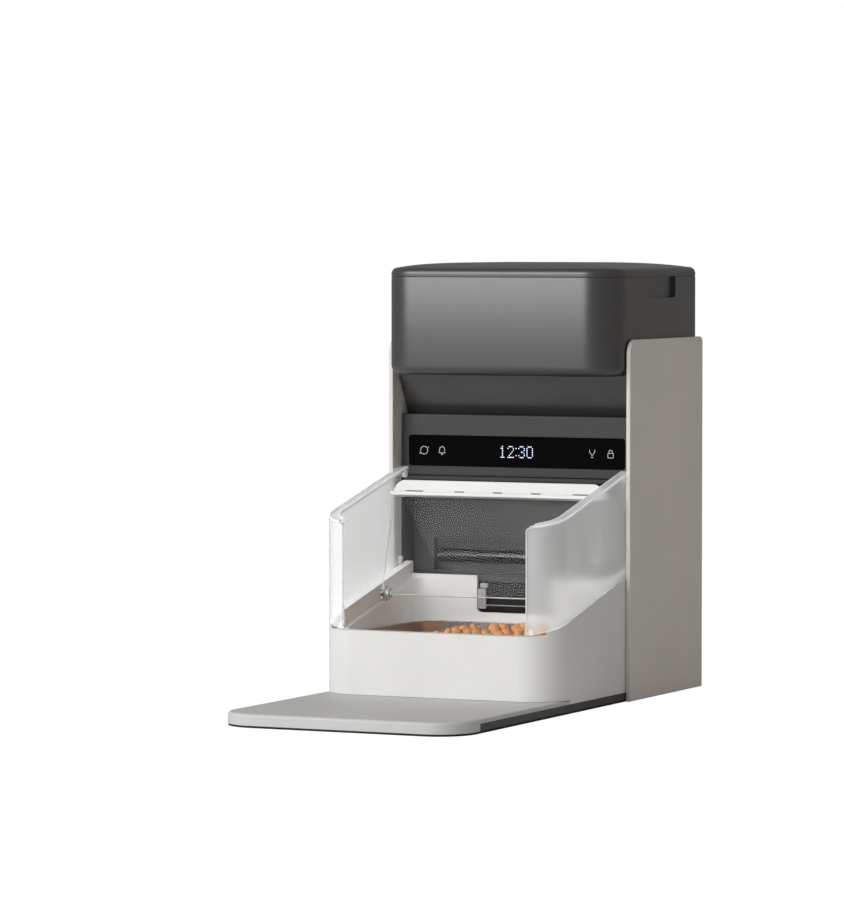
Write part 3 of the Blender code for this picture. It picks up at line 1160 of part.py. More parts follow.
def make_back():
    back_front = BODY_BACK + GAP
    back_rear = HOPPER_BACK
    side = HALF_WIDTH
    cover = box(-side, side, back_front, back_rear, BACK_BOTTOM, BODY_TOP)
    board_y = back_front - MAIN_BOARD_STANDOFF
    board_places = []
    for x in (-1, 1):
        for z in (MAIN_BOARD_BOTTOM + BOSS_INSET, MAIN_BOARD_TOP - BOSS_INSET):
            board_places.append((x * (MAIN_BOARD_HALF_WIDTH - BOSS_INSET), z))
    for place_xz in board_places:
        join(cover, rod(BOSS_RADIUS, board_y + BOARD_SHEET + GAP, back_front + GAP, "Y", place_xz))
    inside = BODY_BACK - OVERRUN
    outside = back_rear + OVERRUN
    door_side = DOOR_HALF_WIDTH + GAP
    door = rectangle(-door_side, door_side, DOOR_BOTTOM - GAP, DOOR_TOP + GAP, DOOR_CORNER)
    cut(cover, prism(door, inside, outside, "Y"))
    jack_place = (JACK_X, JACK_Z)
    flange_seat = back_rear - JACK_FLANGE - 2 * GAP
    cut(cover, rod(JACK_RADIUS + GAP, inside, outside, "Y", jack_place))
    cut(cover, rod(JACK_FLANGE_RADIUS + GAP, flange_seat, outside, "Y", jack_place))
    head_seat = back_rear - SCREW_HEAD_HEIGHT
    for place_xz in screw_places():
        cut(cover, rod(SCREW_SHANK_RADIUS + GAP, inside, outside, "Y", place_xz))
        cut(cover, rod(SCREW_HEAD_RADIUS + GAP, head_seat, outside, "Y", place_xz))
    finish_part(cover, "back_cover", CHARCOAL, 0.5)

    for index, (x, z) in enumerate(screw_places()):
        head_low = head_seat + GAP
        screw = rod(SCREW_HEAD_RADIUS, head_low, back_rear - GAP, "Y", (x, z))
        join(screw, rod(SCREW_SHANK_RADIUS, BODY_BACK - SCREW_LENGTH + GAP, head_low + GAP, "Y", (x, z)))
        finish_part(screw, "case_screw_%d" % (index + 1), STEEL, 0.35, 1.0)

    carrier = axis_empty("battery_cover_axis", (0, HOPPER_BACK, (DOOR_BOTTOM + DOOR_TOP) / 2))
    outline = rectangle(-DOOR_HALF_WIDTH, DOOR_HALF_WIDTH, DOOR_BOTTOM, DOOR_TOP, DOOR_CORNER)
    panel = prism(outline, back_front, back_rear, "Y")
    grip_z = DOOR_TOP - DOOR_GRIP_RADIUS - DOOR_CORNER
    cut(panel, rod(DOOR_GRIP_RADIUS, back_rear - DOOR_GRIP_DEPTH, outside, "Y", (0, grip_z)))
    finish_part(panel, "battery_cover", CHARCOAL, 0.5, carrier=carrier)

    floor = PLATE_BOTTOM + BODY_WALL
    pitch = CELL_LENGTH + CELL_NUB_LENGTH + GAP
    for index in range(CELL_COUNT):
        start = (index - CELL_COUNT / 2) * pitch
        centre = (CELL_Y, floor + GAP + CELL_RADIUS)
        end = start + CELL_LENGTH
        cell = rod(CELL_RADIUS, start, end, "X", centre, ROUND_SIDES)
        join(cell, rod(CELL_NUB_RADIUS, end - GAP, end + CELL_NUB_LENGTH, "X", centre))
        finish_part(cell, "battery_cell_%d" % (index + 1), STEEL, 0.35, 1.0)

    board = box(-MAIN_BOARD_HALF_WIDTH, MAIN_BOARD_HALF_WIDTH, board_y, board_y + BOARD_SHEET,
                MAIN_BOARD_BOTTOM, MAIN_BOARD_TOP)
    finish_part(board, "main_board", BOARD_GREEN, 0.6)

    coil_y = HOLLOW_FRONT + GAP
    outer = rectangle(-ANTENNA_HALF_WIDTH, ANTENNA_HALF_WIDTH, ANTENNA_BOTTOM, ANTENNA_TOP, ANTENNA_CORNER)
    in_x = ANTENNA_HALF_WIDTH - ANTENNA_BAND
    inner = rectangle(-in_x, in_x, ANTENNA_BOTTOM + ANTENNA_BAND, ANTENNA_TOP - ANTENNA_BAND,
                      ANTENNA_CORNER - ANTENNA_BAND)
    coil = prism(outer, coil_y, coil_y + ANTENNA_SHEET, "Y", holes=[inner])
    finish_part(coil, "chip_reader_antenna", COPPER, 0.4, 1.0)

    jack_back = back_rear - GAP
    jack_front = jack_back - JACK_LENGTH
    jack = rod(JACK_RADIUS, jack_front, jack_back - GAP, "Y", jack_place)
    join(jack, rod(JACK_FLANGE_RADIUS, jack_back - JACK_FLANGE, jack_back, "Y", jack_place))
    cut(jack, rod(JACK_BORE, jack_front + JACK_FLANGE, outside, "Y", jack_place))
    finish_part(jack, "power_inlet", BLACK, 0.4)


make_base()
make_housing()
make_bowl()
make_guards()
make_cover()
make_outlet()
make_body()
make_fascia()
make_hopper()
make_lid()
make_side_panels()
make_dispenser()
make_chute()
make_back()
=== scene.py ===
"""Looks of the microchip pet feeder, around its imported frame."""
import json
import math
import random

import bmesh
import bpy
from mathutils import Matrix, Vector, noise


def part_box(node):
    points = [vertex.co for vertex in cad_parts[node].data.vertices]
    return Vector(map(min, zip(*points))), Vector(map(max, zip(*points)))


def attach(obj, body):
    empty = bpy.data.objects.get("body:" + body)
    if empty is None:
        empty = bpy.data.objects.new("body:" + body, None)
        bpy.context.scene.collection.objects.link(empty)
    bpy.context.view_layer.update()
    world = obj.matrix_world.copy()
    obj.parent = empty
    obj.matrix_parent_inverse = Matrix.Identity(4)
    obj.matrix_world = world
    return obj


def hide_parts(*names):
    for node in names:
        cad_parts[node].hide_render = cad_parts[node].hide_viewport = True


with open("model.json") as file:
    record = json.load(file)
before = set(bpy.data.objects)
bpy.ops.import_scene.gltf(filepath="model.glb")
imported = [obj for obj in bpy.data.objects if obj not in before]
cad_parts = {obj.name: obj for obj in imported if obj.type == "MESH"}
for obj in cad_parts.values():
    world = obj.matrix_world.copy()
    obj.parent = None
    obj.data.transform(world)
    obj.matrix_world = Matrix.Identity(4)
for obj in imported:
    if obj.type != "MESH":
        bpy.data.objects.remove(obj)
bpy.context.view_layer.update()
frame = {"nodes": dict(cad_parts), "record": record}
NODES = frame["nodes"]


def srgb(*levels):
    """Linear colour of an 8-bit screen colour."""
    return tuple(
        (v / 255 / 12.92) if v / 255 <= 0.04045 else ((v / 255 + 0.055) / 1.055) ** 2.4 for v in levels)


# Geometry helpers
def link(name, bm, smooth=35):
    mesh = bpy.data.meshes.new(name)
    bmesh.ops.recalc_face_normals(bm, faces=bm.faces)
    bm.to_mesh(mesh)
    bm.free()
    obj = bpy.data.objects.new(name, mesh)
    bpy.context.scene.collection.objects.link(obj)
    shade(obj, smooth)
    return obj


def shade(obj, smooth=35):
    obj.data.shade_smooth()
    obj.data.set_sharp_from_angle(angle=math.radians(smooth))


def rounded(corners, steps=20):
    """Outline from corners (x, y, radius) with arcs."""
    outline = []
    count = len(corners)
    for index, (x, y, radius) in enumerate(corners):
        here = Vector((x, y))
        if radius == 0:
            outline.append(here)
            continue
        before = (Vector(corners[index - 1][:2]) - here).normalized()
        after = (Vector(corners[(index + 1) % count][:2]) - here).normalized()
        half = before.angle(after) / 2
        centre = here + (before + after).normalized() * (radius / math.sin(half))
        start = here + before * (radius / math.tan(half)) - centre
        turn = start.angle_signed(here + after * (radius / math.tan(half)) - centre)
        for step in range(steps + 1):
            outline.append(centre + Matrix.Rotation(-turn * step / steps, 2) @ start)
    return outline


def rectangle(x_low, x_high, y_low, y_high, radius=0.0, steps=20):
    corners = ((x_low, y_low), (x_high, y_low), (x_high, y_high), (x_low, y_high))
    return rounded([(x, y, radius) for x, y in corners], steps)


AXIS_FRAMES = {
    "X": Matrix(((0, 0, 1, 0), (1, 0, 0, 0), (0, 1, 0, 0), (0, 0, 0, 1))),
    "Y": Matrix(((1, 0, 0, 0), (0, 0, 1, 0), (0, 1, 0, 0), (0, 0, 0, 1))),
    "Z": Matrix.Identity(4),
}


def bridge(bm, lower, upper):
    """Faces between two loops of vertices."""
    for index in range(len(lower)):
        after = (index + 1) % len(lower)
        bm.faces.new((lower[index], lower[after], upper[after], upper[index]))


def cover_loops(bm, loops):
    """Skin over loops of vertices, capped at the first and the last."""
    for lower, upper in zip(loops, loops[1:]):
        bridge(bm, lower, upper)
    bm.faces.new(loops[0])
    bm.faces.new(loops[-1])


def prism(name, outline, low, high, axis="Z"):
    """Outline drawn out along an axis: (y, z) for X, (x, z) for Y, (x, y) for Z."""
    bm = bmesh.new()
    cover_loops(bm, [[bm.verts.new((x, y, z)) for x, y in outline] for z in (low, high)])
    bmesh.ops.transform(bm, matrix=AXIS_FRAMES[axis], verts=bm.verts)
    return link(name, bm)


def box(name, x_low, x_high, y_low, y_high, z_low, z_high):
    return prism(name, rectangle(x_low, x_high, y_low, y_high), z_low, z_high)


def rod(name, radius, low, high, axis, centre, sides=48):
    turns = [2 * math.pi * index / sides for index in range(sides)]
    outline = [(centre[0] + radius * math.cos(t), centre[1] + radius * math.sin(t)) for t in turns]
    return prism(name, outline, low, high, axis)


def apply(obj):
    """Makes an object's modifiers part of its mesh."""
    bpy.context.view_layer.update()
    depsgraph = bpy.context.evaluated_depsgraph_get()
    mesh = bpy.data.meshes.new_from_object(obj.evaluated_get(depsgraph))
    obj.modifiers.clear()
    obj.data = mesh
    return obj


def bake(obj, smooth=35):
    apply(obj)
    shade(obj, smooth)
    return obj


def boolean(target, other, operation):
    modifier = target.modifiers.new("boolean", "BOOLEAN")
    modifier.operation = operation
    modifier.object = other
    bake(target)
    bpy.data.objects.remove(other)


def cut(target, other):
    boolean(target, other, "DIFFERENCE")


def join(target, other):
    boolean(target, other, "UNION")


def keep_inside(target, other):
    boolean(target, other, "INTERSECT")


SAME_POINT = 0.00002
SOFT_SMOOTH = 40
FLAT_ANGLE = math.radians(0.5)


def soften(obj, width, segments=3, angle=30):
    """Rounds the sharp edges of a finished shape."""
    bm = bmesh.new()
    bm.from_mesh(obj.data)
    bmesh.ops.remove_doubles(bm, verts=bm.verts, dist=SAME_POINT)
    bmesh.ops.dissolve_limit(bm, angle_limit=FLAT_ANGLE, verts=bm.verts, edges=bm.edges)
    bm.to_mesh(obj.data)
    bm.free()
    modifier = obj.modifiers.new("soften", "BEVEL")
    modifier.limit_method = "ANGLE"
    modifier.angle_limit = math.radians(angle)
    modifier.width = width
    modifier.segments = segments
    modifier.use_clamp_overlap = True
    return weigh(bake(obj, SOFT_SMOOTH))


def weigh(obj):
    """Keeps wide faces flat where their edges are rounded."""
    modifier = obj.modifiers.new("weigh", "WEIGHTED_NORMAL")
    modifier.keep_sharp = True
    return apply(obj)


# Materials
def new_material(name):
    material = bpy.data.materials.new(name)
    material.use_nodes = True
    return material, material.node_tree, material.node_tree.nodes["Principled BSDF"]


def set_inputs(node, values):
    """Values of a shader node's inputs by their names or numbers."""
    for place, value in values.items():
        node.inputs[place].default_value = value
    return node


def add_node(tree, kind, values=None):
    return set_inputs(tree.nodes.new("ShaderNode" + kind), values or {})


def add_noise(tree, scale, detail=2, stretch=(1, 1, 1)):
    """Noise over the object's own space."""
    coords = add_node(tree, "TexCoord")
    mapping = add_node(tree, "Mapping", {"Scale": stretch})
    texture = add_node(tree, "TexNoise", {"Scale": scale, "Detail": detail})
    tree.links.new(coords.outputs["Object"], mapping.inputs["Vector"])
    tree.links.new(mapping.outputs["Vector"], texture.inputs["Vector"])
    return texture


def vary_gloss(tree, texture, lowest, highest):
    """Roughness that goes with a noise."""
    gloss = add_node(tree, "MapRange", {"To Min": lowest, "To Max": highest})
    tree.links.new(texture.outputs["Fac"], gloss.inputs["Value"])
    tree.links.new(gloss.outputs["Result"], tree.nodes["Principled BSDF"].inputs["Roughness"])


def add_bump(tree, texture, strength, distance):
    bump = add_node(tree, "Bump", {"Strength": strength, "Distance": distance})
    tree.links.new(texture.outputs["Fac"], bump.inputs["Height"])
    tree.links.new(bump.outputs["Normal"], tree.nodes["Principled BSDF"].inputs["Normal"])


CLOUD_SCALE = 14
CLOUD_SPAN = (0.3, 0.7)
GLOSS_CHANGE = 0.04
GRAIN_STRENGTH = 0.6


def plastic(name, colour, roughness, grain=0.00006, scale=2600, vary=0.03, specular=0.5):
    """Moulded plastic: fine grain, slight changes of colour and gloss."""
    material, tree, shader = new_material(name)
    fine = add_noise(tree, scale, 3)
    wide = add_noise(tree, CLOUD_SCALE, 4)
    tint = add_node(tree, "ValToRGB")
    for element, place, change in zip(tint.color_ramp.elements, CLOUD_SPAN, (1 - vary, 1 + vary)):
        element.position = place
        element.color = (*(min(1.0, c * change) for c in colour), 1)
    tree.links.new(wide.outputs["Fac"], tint.inputs["Fac"])
    tree.links.new(tint.outputs["Color"], shader.inputs["Base Color"])
    vary_gloss(tree, fine, roughness - GLOSS_CHANGE, roughness + GLOSS_CHANGE)
    add_bump(tree, fine, GRAIN_STRENGTH, grain)
    set_inputs(shader, {"Specular IOR Level": specular})
    return material


VEIL_SCALE = 30
CLEAR_GLOSS_CHANGE = 0.02


def clear_plastic(name, colour, roughness, veil, index=1.25):
    """Clear moulded plastic with a faint milky veil."""
    material, tree, shader = new_material(name)
    cloud = add_noise(tree, VEIL_SCALE)
    vary_gloss(tree, cloud, max(roughness - CLEAR_GLOSS_CHANGE, 0.0), roughness + CLEAR_GLOSS_CHANGE)
    set_inputs(shader, {"Base Color": (*colour, 1), "Transmission Weight": 1.0 - veil, "IOR": index})
    return material


METAL_SCALE = 260
METAL_GLOSSIER = 0.05
METAL_DULLER = 0.08
METAL_BUMP = 0.3
METAL_GRAIN = 0.00003
BRUSHED = (1, 14, 14)


def metal(name, colour, roughness, brushed=0.0):
    material, tree, shader = new_material(name)
    grain = add_noise(tree, METAL_SCALE, 4, BRUSHED if brushed else (1, 1, 1))
    vary_gloss(tree, grain, roughness - METAL_GLOSSIER, roughness + METAL_DULLER)
    add_bump(tree, grain, METAL_BUMP, METAL_GRAIN)
    set_inputs(shader, {"Base Color": (*colour, 1), "Metallic": 1.0})
    return material


GLOW_ROUGHNESS = 0.4


def glow(name, colour, strength):
    material, _, shader = new_material(name)
    set_inputs(shader, {"Base Color": (*colour, 1), "Emission Color": (*colour, 1),
                        "Emission Strength": strength, "Roughness": GLOW_ROUGHNESS})
    return material


WHITE = plastic("white_plastic", srgb(232, 232, 230), 0.42)
STONE = plastic("stone_panel", srgb(224, 220, 214), 0.5, 0.00008, 1900)
PLATE = plastic("plate_grey", srgb(200, 200, 199), 0.55, 0.00010, 1500)
CHARCOAL = plastic("charcoal_plastic", srgb(50, 50, 51), 0.35, specular=1.0)
CHARCOAL_MATTE = plastic("charcoal_matte", srgb(66, 66, 67), 0.52, specular=0.3)
TRAY = plastic("tray_plastic", srgb(66, 66, 68), 0.5)
FLAP_BLACK = plastic("flap_black", srgb(18, 18, 19), 0.22, 0.00002)
DISPLAY = plastic("display_glass", srgb(6, 6, 7), 0.14, 0.000002, 800, 0.0, 0.06)
RUBBER = plastic("foot_rubber", srgb(24, 24, 24), 0.75, 0.0001, 1200)
SILICONE = plastic("silicone", srgb(160, 160, 160), 0.6)
ACETAL = plastic("acetal", srgb(226, 222, 210), 0.4)
BOARD = plastic("circuit_board", srgb(30, 92, 52), 0.5)
CELL = plastic("cell_wrap", srgb(86, 86, 90), 0.3)
CLEAR = clear_plastic("clear_plastic", (0.99, 0.995, 0.995), 0.0, 0.005, 1.12)
FROST = clear_plastic("frosted_plastic", (0.98, 0.985, 0.985), 0.22, 0.30)
KIBBLE = plastic("kibble", srgb(222, 160, 112), 0.62, 0.0003, 420, 0.25)
# Near-white opaque threads along the clear edges of the guards and the cover: painted highlights
PAINTED_HIGHLIGHT = plastic("painted_edge_highlight", srgb(250, 251, 252), 0.15)
STEEL = metal("steel", srgb(180, 180, 182), 0.3)
BOWL_STEEL = metal("bowl_steel", srgb(205, 202, 198), 0.26, 1.0)
COPPER = metal("copper", srgb(200, 130, 90), 0.35)
LED = glow("led_white", srgb(214, 228, 255), 1.5)
ICON = glow("icon_white", srgb(206, 210, 216), 0.45)

SLOT_MATERIALS = {
    "white_plastic": WHITE, "stone_panel": STONE, "plate_grey": PLATE, "charcoal_plastic": CHARCOAL,
    "tray_plastic": TRAY, "clear_plastic": CLEAR, "display_glass": DISPLAY, "flap_black": FLAP_BLACK,
    "bowl_steel": BOWL_STEEL, "steel": STEEL, "foot_rubber": RUBBER, "silicone": SILICONE,
    "acetal": ACETAL, "circuit_board": BOARD, "copper": COPPER, "cell_wrap": CELL,
}


def dress(obj, material):
    obj.data.materials.clear()
    obj.data.materials.append(material)


def dress_nodes():
    """Gives each CAD node the material of its slot."""
    for entry in frame["record"]["subparts"]:
        dress(NODES[entry["node"]], SLOT_MATERIALS[entry["material_slot"]])


def piece(obj, body, slot, material=None, replaces=()):
    """Puts a finished piece on its body."""
    dress(obj, material or SLOT_MATERIALS[slot])
    obj.visible_shadow = obj.data.materials[0] != FROST
    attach(obj, body)
    if replaces:
        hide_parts(*replaces)


dress_nodes()

# Places read from the frame
def low(node):
    return Vector(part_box(node)[0])


def high(node):
    return Vector(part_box(node)[1])


OVER = 0.010
GAP = 0.0003
FRONT = low("side_panel_left").y
HALF_WIDTH = high("bowl_housing").x
BODY_FRONT = low("rear_body").y


def front_outline(half, front, back, corner, inset=0.0):
    """Plan with two round front corners and a straight back."""
    side = half - inset
    radius = max(corner - inset, 0.0)
    return rounded([
        (-side, front + inset, radius), (side, front + inset, radius), (side, back, 0), (-side, back, 0)])


def bevel_level(obj, z, width, segments):
    """Rounds the edges of a fresh prism that lie at one height."""
    bm = bmesh.new()
    bm.from_mesh(obj.data)
    edges = [e for e in bm.edges if all(abs(v.co.z - z) < GAP / 3 for v in e.verts)]
    bmesh.ops.bevel(bm, geom=edges, offset=width, segments=segments, profile=0.5, affect="EDGES")
    bm.to_mesh(obj.data)
    bm.free()


def loft(name, rings, smooth=35):
    """Closed skin over rings of points."""
    bm = bmesh.new()
    cover_loops(bm, [[bm.verts.new(point) for point in ring] for ring in rings])
    return link(name, bm, smooth)


def joined(name, parts, smooth=35):
    """One object from several finished meshes that stay separate shells."""
    bm = bmesh.new()
    for part in parts:
        bm.from_mesh(part.data)
        bpy.data.objects.remove(part)
    return link(name, bm, smooth)


# Hopper and its lid
HOPPER_LOW = low("hopper_shell")
HOPPER_HIGH = high("hopper_shell")
HOPPER_CORNER = 0.030
HOPPER_REAR_CORNER = 0.0068
HOPPER_WALL = 0.004
CHIN_BOTTOM = 0.2795
CHIN_ROUND = 0.0085
THROAT_Z = 0.277
SHELF_DEPTH = 0.013
STORE_FLOOR = 0.290
FINGER_START = 0.0512
FINGER_END = 0.1122
FINGER_HEIGHT = 0.0185
FINGER_DEPTH = 0.0033
LID_EDGE = 0.0074
LID_EDGE_ROUND = 0.0056
LID_WALL = 0.0035
LID_STEPS = 14
LID_SEAM = 0.0004
LID_GROOVE = 0.0006
SEAL_WIDTH = 0.003
LEAST_CORNER = 0.002
LEAST_REAR_CORNER = 0.0012


def hopper_plan(inset=0.0):
    side = HOPPER_HIGH.x - inset
    front = HOPPER_LOW.y + inset
    back = HOPPER_HIGH.y - inset
    corner = max(HOPPER_CORNER - inset, LEAST_CORNER)
    rear = max(HOPPER_REAR_CORNER - inset, LEAST_REAR_CORNER)
    return rounded([(-side, front, corner), (side, front, corner), (side, back, rear), (-side, back, rear)])


HOPPER_EDGE = 0.0007
THROAT_DEPTH = 0.0055
OUTLET_WALL = 0.003
MOUTH_DROP = 0.005
FINGER_CORNER = 0.004


def cut_funnel(shell, front):
    """Hopper's floor, which narrows to the portion wheel's housing."""
    side = HOPPER_HIGH.x - HOPPER_CORNER
    half = high("dispenser_drum").x - OUTLET_WALL
    middle_y = (low("dispenser_drum").y + high("dispenser_drum").y) / 2
    mouth = rectangle(-side, side, front, HOPPER_HIGH.y - HOPPER_CORNER + HOPPER_WALL)
    outlet = rectangle(-half, half, middle_y - half, middle_y + half)
    rings = ((mouth, STORE_FLOOR + OVER), (mouth, STORE_FLOOR - MOUTH_DROP),
             (outlet, HOPPER_LOW.z + HOPPER_WALL), (outlet, HOPPER_LOW.z - OVER))
    cut(shell, loft("funnel", [[(x, y, z) for x, y in outline] for outline, z in rings]))


def make_hopper():
    top = HOPPER_HIGH.z
    shell = prism("hopper_body", hopper_plan(), CHIN_BOTTOM, top)
    bevel_level(shell, CHIN_BOTTOM, CHIN_ROUND, 10)
    bevel_level(shell, top, HOPPER_EDGE, 3)
    shelf_y = BODY_FRONT + SHELF_DEPTH
    neck_top = CHIN_BOTTOM + CHIN_ROUND + GAP
    neck = prism("neck", hopper_plan(GAP / 6), HOPPER_LOW.z, neck_top)
    throat_y, behind = BODY_FRONT - THROAT_DEPTH, HOPPER_HIGH.y + OVER
    slope = [(throat_y, neck_top + OVER), (throat_y, THROAT_Z), (shelf_y, HOPPER_LOW.z - GAP),
             (behind, HOPPER_LOW.z - GAP), (behind, neck_top + OVER)]
    keep_inside(neck, prism("slope", slope, -HALF_WIDTH - OVER, HALF_WIDTH + OVER, "X"))
    join(shell, neck)
    cut(shell, prism("store", hopper_plan(HOPPER_WALL), STORE_FLOOR, top + OVER))
    cut_funnel(shell, shelf_y + HOPPER_WALL)
    bottom = top - FINGER_HEIGHT
    start, end = FRONT + FINGER_START, FRONT + FINGER_END
    finger = rounded([(start, bottom, FINGER_CORNER), (end, bottom, FINGER_CORNER), (end, top + OVER, 0),
                      (start, top + OVER, 0)])
    for side in (-1, 1):
        ends = sorted((side * (HOPPER_HIGH.x - FINGER_DEPTH), side * (HALF_WIDTH + OVER)))
        cut(shell, prism("finger", finger, *ends, "X"))
    piece(shell, "feeder", "charcoal_plastic", CHARCOAL, ["hopper_shell"])


LID_REACH = 0.093
LID_CROWN_POWER = 3.6


def lid_skin(drop):
    """Heights of the crowned lid over its plan, as (inset, z), from the rim to the middle."""
    rim = HOPPER_HIGH.z + LID_SEAM
    crown = high("hopper_lid").z - drop
    shoulder = rim + LID_EDGE - drop
    profile = []
    for step in range(LID_STEPS + 1):
        turn = math.pi / 2 * step / LID_STEPS
        inset = LID_EDGE_ROUND * (1 - math.cos(turn))
        profile.append((inset, shoulder - LID_EDGE_ROUND * (1 - math.sin(turn))))
    for step in range(1, LID_STEPS + 1):
        share = step / LID_STEPS
        inset = LID_EDGE_ROUND + (LID_REACH - LID_EDGE_ROUND) * share
        profile.append((inset, shoulder + (crown - shoulder) * (1 - (1 - share) ** LID_CROWN_POWER)))
    return profile


LID_INNER_REACH = 0.088
SEAL_GAP = 0.0009
SEAL_TOP = 0.001
SEAL_RIDGES = ((0, 0), (0, 0.0012), (0.0006, 0.0018), (0, 0.0024))


def make_lid():
    rim = HOPPER_HIGH.z + LID_SEAM
    seat = HOPPER_HIGH.z + GAP / 10
    outer = [(LID_GROOVE, seat), (LID_GROOVE, rim), (0.0, rim)] + lid_skin(0.0)
    inner = [(LID_WALL, seat)]
    inner += [(inset + LID_WALL, max(z, rim + GAP)) for inset, z in lid_skin(LID_WALL)
              if inset < LID_INNER_REACH]
    rings = [[(x, y, z) for x, y in hopper_plan(inset)] for inset, z in inner[::-1] + outer]
    piece(loft("lid_shell", rings, 50), "lid", "charcoal_plastic", CHARCOAL, ["hopper_lid"])
    bottom, top = low("lid_seal").z, rim + SEAL_TOP
    start = LID_WALL + SEAL_GAP
    outer = [(start + inset, bottom + rise) for inset, rise in SEAL_RIDGES] + [(start, top)]
    inner = [(start + SEAL_WIDTH, top), (start + SEAL_WIDTH, bottom)]
    bm = bmesh.new()
    loops = [[bm.verts.new((x, y, z)) for x, y in hopper_plan(inset)] for inset, z in outer + inner]
    for lower, upper in zip(loops, loops[1:] + loops[:1]):
        bridge(bm, lower, upper)
    piece(link("lid_gasket", bm), "lid", "silicone", SILICONE, ["lid_seal"])


make_hopper()
make_lid()

# Bowl housing
HOUSING_CORNER = 0.034
GUARD_SEAT = 0.0033
RIM_FRONT_Z = 0.0667
RIM_CORNER_Z = 0.0780
RIM_REAR_Z = 0.1117
RAIL_RISE = 0.0025
LEDGE_DROP = 0.0137
LAND_Z = 0.0662
SIDE_WALL = 0.0105
LEDGE_WIDTH = 0.0052
FRONT_WALL = 0.011
TUB_REAR = FRONT + 0.016
TUB_REAR_TOP = 0.1034
NOTCH_HALF = 0.037
NOTCH_BOTTOM = 0.0712
HOUSING_LOW = low("bowl_housing")
HOUSING_FRONT = HOUSING_LOW.y
HOUSING_BACK = high("bowl_housing").y
PLATE_TOP = high("step_plate").z
RIM_CORNER_Y = HOUSING_FRONT + HOUSING_CORNER
RIM_SLOPE = (RIM_REAR_Z - RIM_CORNER_Z) / (HOUSING_BACK - RIM_CORNER_Y)
TUB_HALF = HALF_WIDTH - SIDE_WALL
WELL_HALF = TUB_HALF - LEDGE_WIDTH
BOWL_LOW = low("bowl")
BOWL_HIGH = high("bowl")
BOWL_CORNER = 0.030
BOWL_FLANGE = 0.005


def rim_z(y):
    """Height of the housing's outer rim."""
    if y >= RIM_CORNER_Y:
        return RIM_CORNER_Z + RIM_SLOPE * (y - RIM_CORNER_Y)
    return RIM_FRONT_Z + (RIM_CORNER_Z - RIM_FRONT_Z) * (y - HOUSING_FRONT) / HOUSING_CORNER


def ledge_z(y):
    return RIM_CORNER_Z + RIM_SLOPE * (y - RIM_CORNER_Y) + RAIL_RISE - LEDGE_DROP


def bowl_plan(inset):
    """Plan of the bowl drawn in from its flange's edge."""
    return rectangle(BOWL_LOW.x + inset, BOWL_HIGH.x - inset, BOWL_LOW.y + inset, BOWL_HIGH.y - inset,
                     BOWL_CORNER - inset)


RIM_KNEE = 0.020


def side_profile(offset, bottom, front_y=HOUSING_FRONT - OVER):
    """Side view of what lies below the rim line moved up by an offset, with a soft knee."""
    back_y = HOUSING_BACK + OVER
    front_z = rim_z(HOUSING_FRONT) + offset
    return rounded([
        (front_y, bottom, 0), (back_y, bottom, 0), (back_y, rim_z(back_y) + offset, 0),
        (RIM_CORNER_Y, RIM_CORNER_Z + offset, RIM_KNEE), (HOUSING_FRONT, front_z, 0), (front_y, front_z, 0)])


BOWL_SEAT_Z = BOWL_HIGH.z - 0.0017
BOWL_HOLE_EDGE = BOWL_FLANGE - 0.0008
HOUSING_TOP = RIM_REAR_Z + 2 * OVER
SHELL_WALL = 0.003
SHELL_CEILING = 0.004
LAND_KNEE = 0.012
WELL_FRONT_CORNER = 0.024
WELL_REAR_CORNER = 0.008
NOTCH_CORNER = 0.004
PIN_Y = (low("cover_gear").y + high("cover_gear").y) / 2
PIN_Z = (low("cover_pin_left").z + high("cover_pin_left").z) / 2
PIN_HOLE = 0.0028
PIN_HOLE_SIDES = 32
PIN_HOLE_STOP = 0.0024
PIN_HOLE_START = 0.005
EAR_ROOM = 0.0071
EAR_ROOM_DEPTH = 0.0052
BAY_HALF = 0.0128
BAY_TOP = 0.0818
BAY_ROUND = 0.001
BAY_NECK = 0.0073
BAY_NECK_ROUND = 0.0072
BAY_PLAY = 0.0005
MOTOR_BAY_HALF = 0.0125
MOTOR_BAY_TOP = 0.0815
HOUSING_SOFT = 0.0008


def cut_tub(housing):
    """Ledge, well, hole for the bowl and the notch at the back."""
    land_y = RIM_CORNER_Y + (LAND_Z - ledge_z(RIM_CORNER_Y)) / RIM_SLOPE
    front_y, behind, top = HOUSING_FRONT - OVER, HOUSING_BACK + OVER, HOUSING_TOP
    ledge = rounded([
        (front_y, LAND_Z, 0), (land_y, LAND_Z, LAND_KNEE), (TUB_REAR, ledge_z(TUB_REAR), 0),
        (TUB_REAR, TUB_REAR_TOP, 0), (behind, TUB_REAR_TOP, 0), (behind, top, 0), (front_y, top, 0)])
    cut(housing, prism("ledge", ledge, -TUB_HALF, TUB_HALF, "X"))
    well_front = HOUSING_FRONT + FRONT_WALL
    well = rounded([
        (-WELL_HALF, well_front, WELL_FRONT_CORNER), (WELL_HALF, well_front, WELL_FRONT_CORNER),
        (WELL_HALF, TUB_REAR, WELL_REAR_CORNER), (-WELL_HALF, TUB_REAR, WELL_REAR_CORNER)])
    cut(housing, prism("well", well, BOWL_SEAT_Z, top))
    cut(housing, prism("hole", bowl_plan(BOWL_HOLE_EDGE), -OVER, top))
    notch = rounded([
        (-NOTCH_HALF, NOTCH_BOTTOM, NOTCH_CORNER), (NOTCH_HALF, NOTCH_BOTTOM, NOTCH_CORNER),
        (NOTCH_HALF, top, 0), (-NOTCH_HALF, top, 0)])
    cut(housing, prism("notch", notch, TUB_REAR - OVER, behind, "Y"))


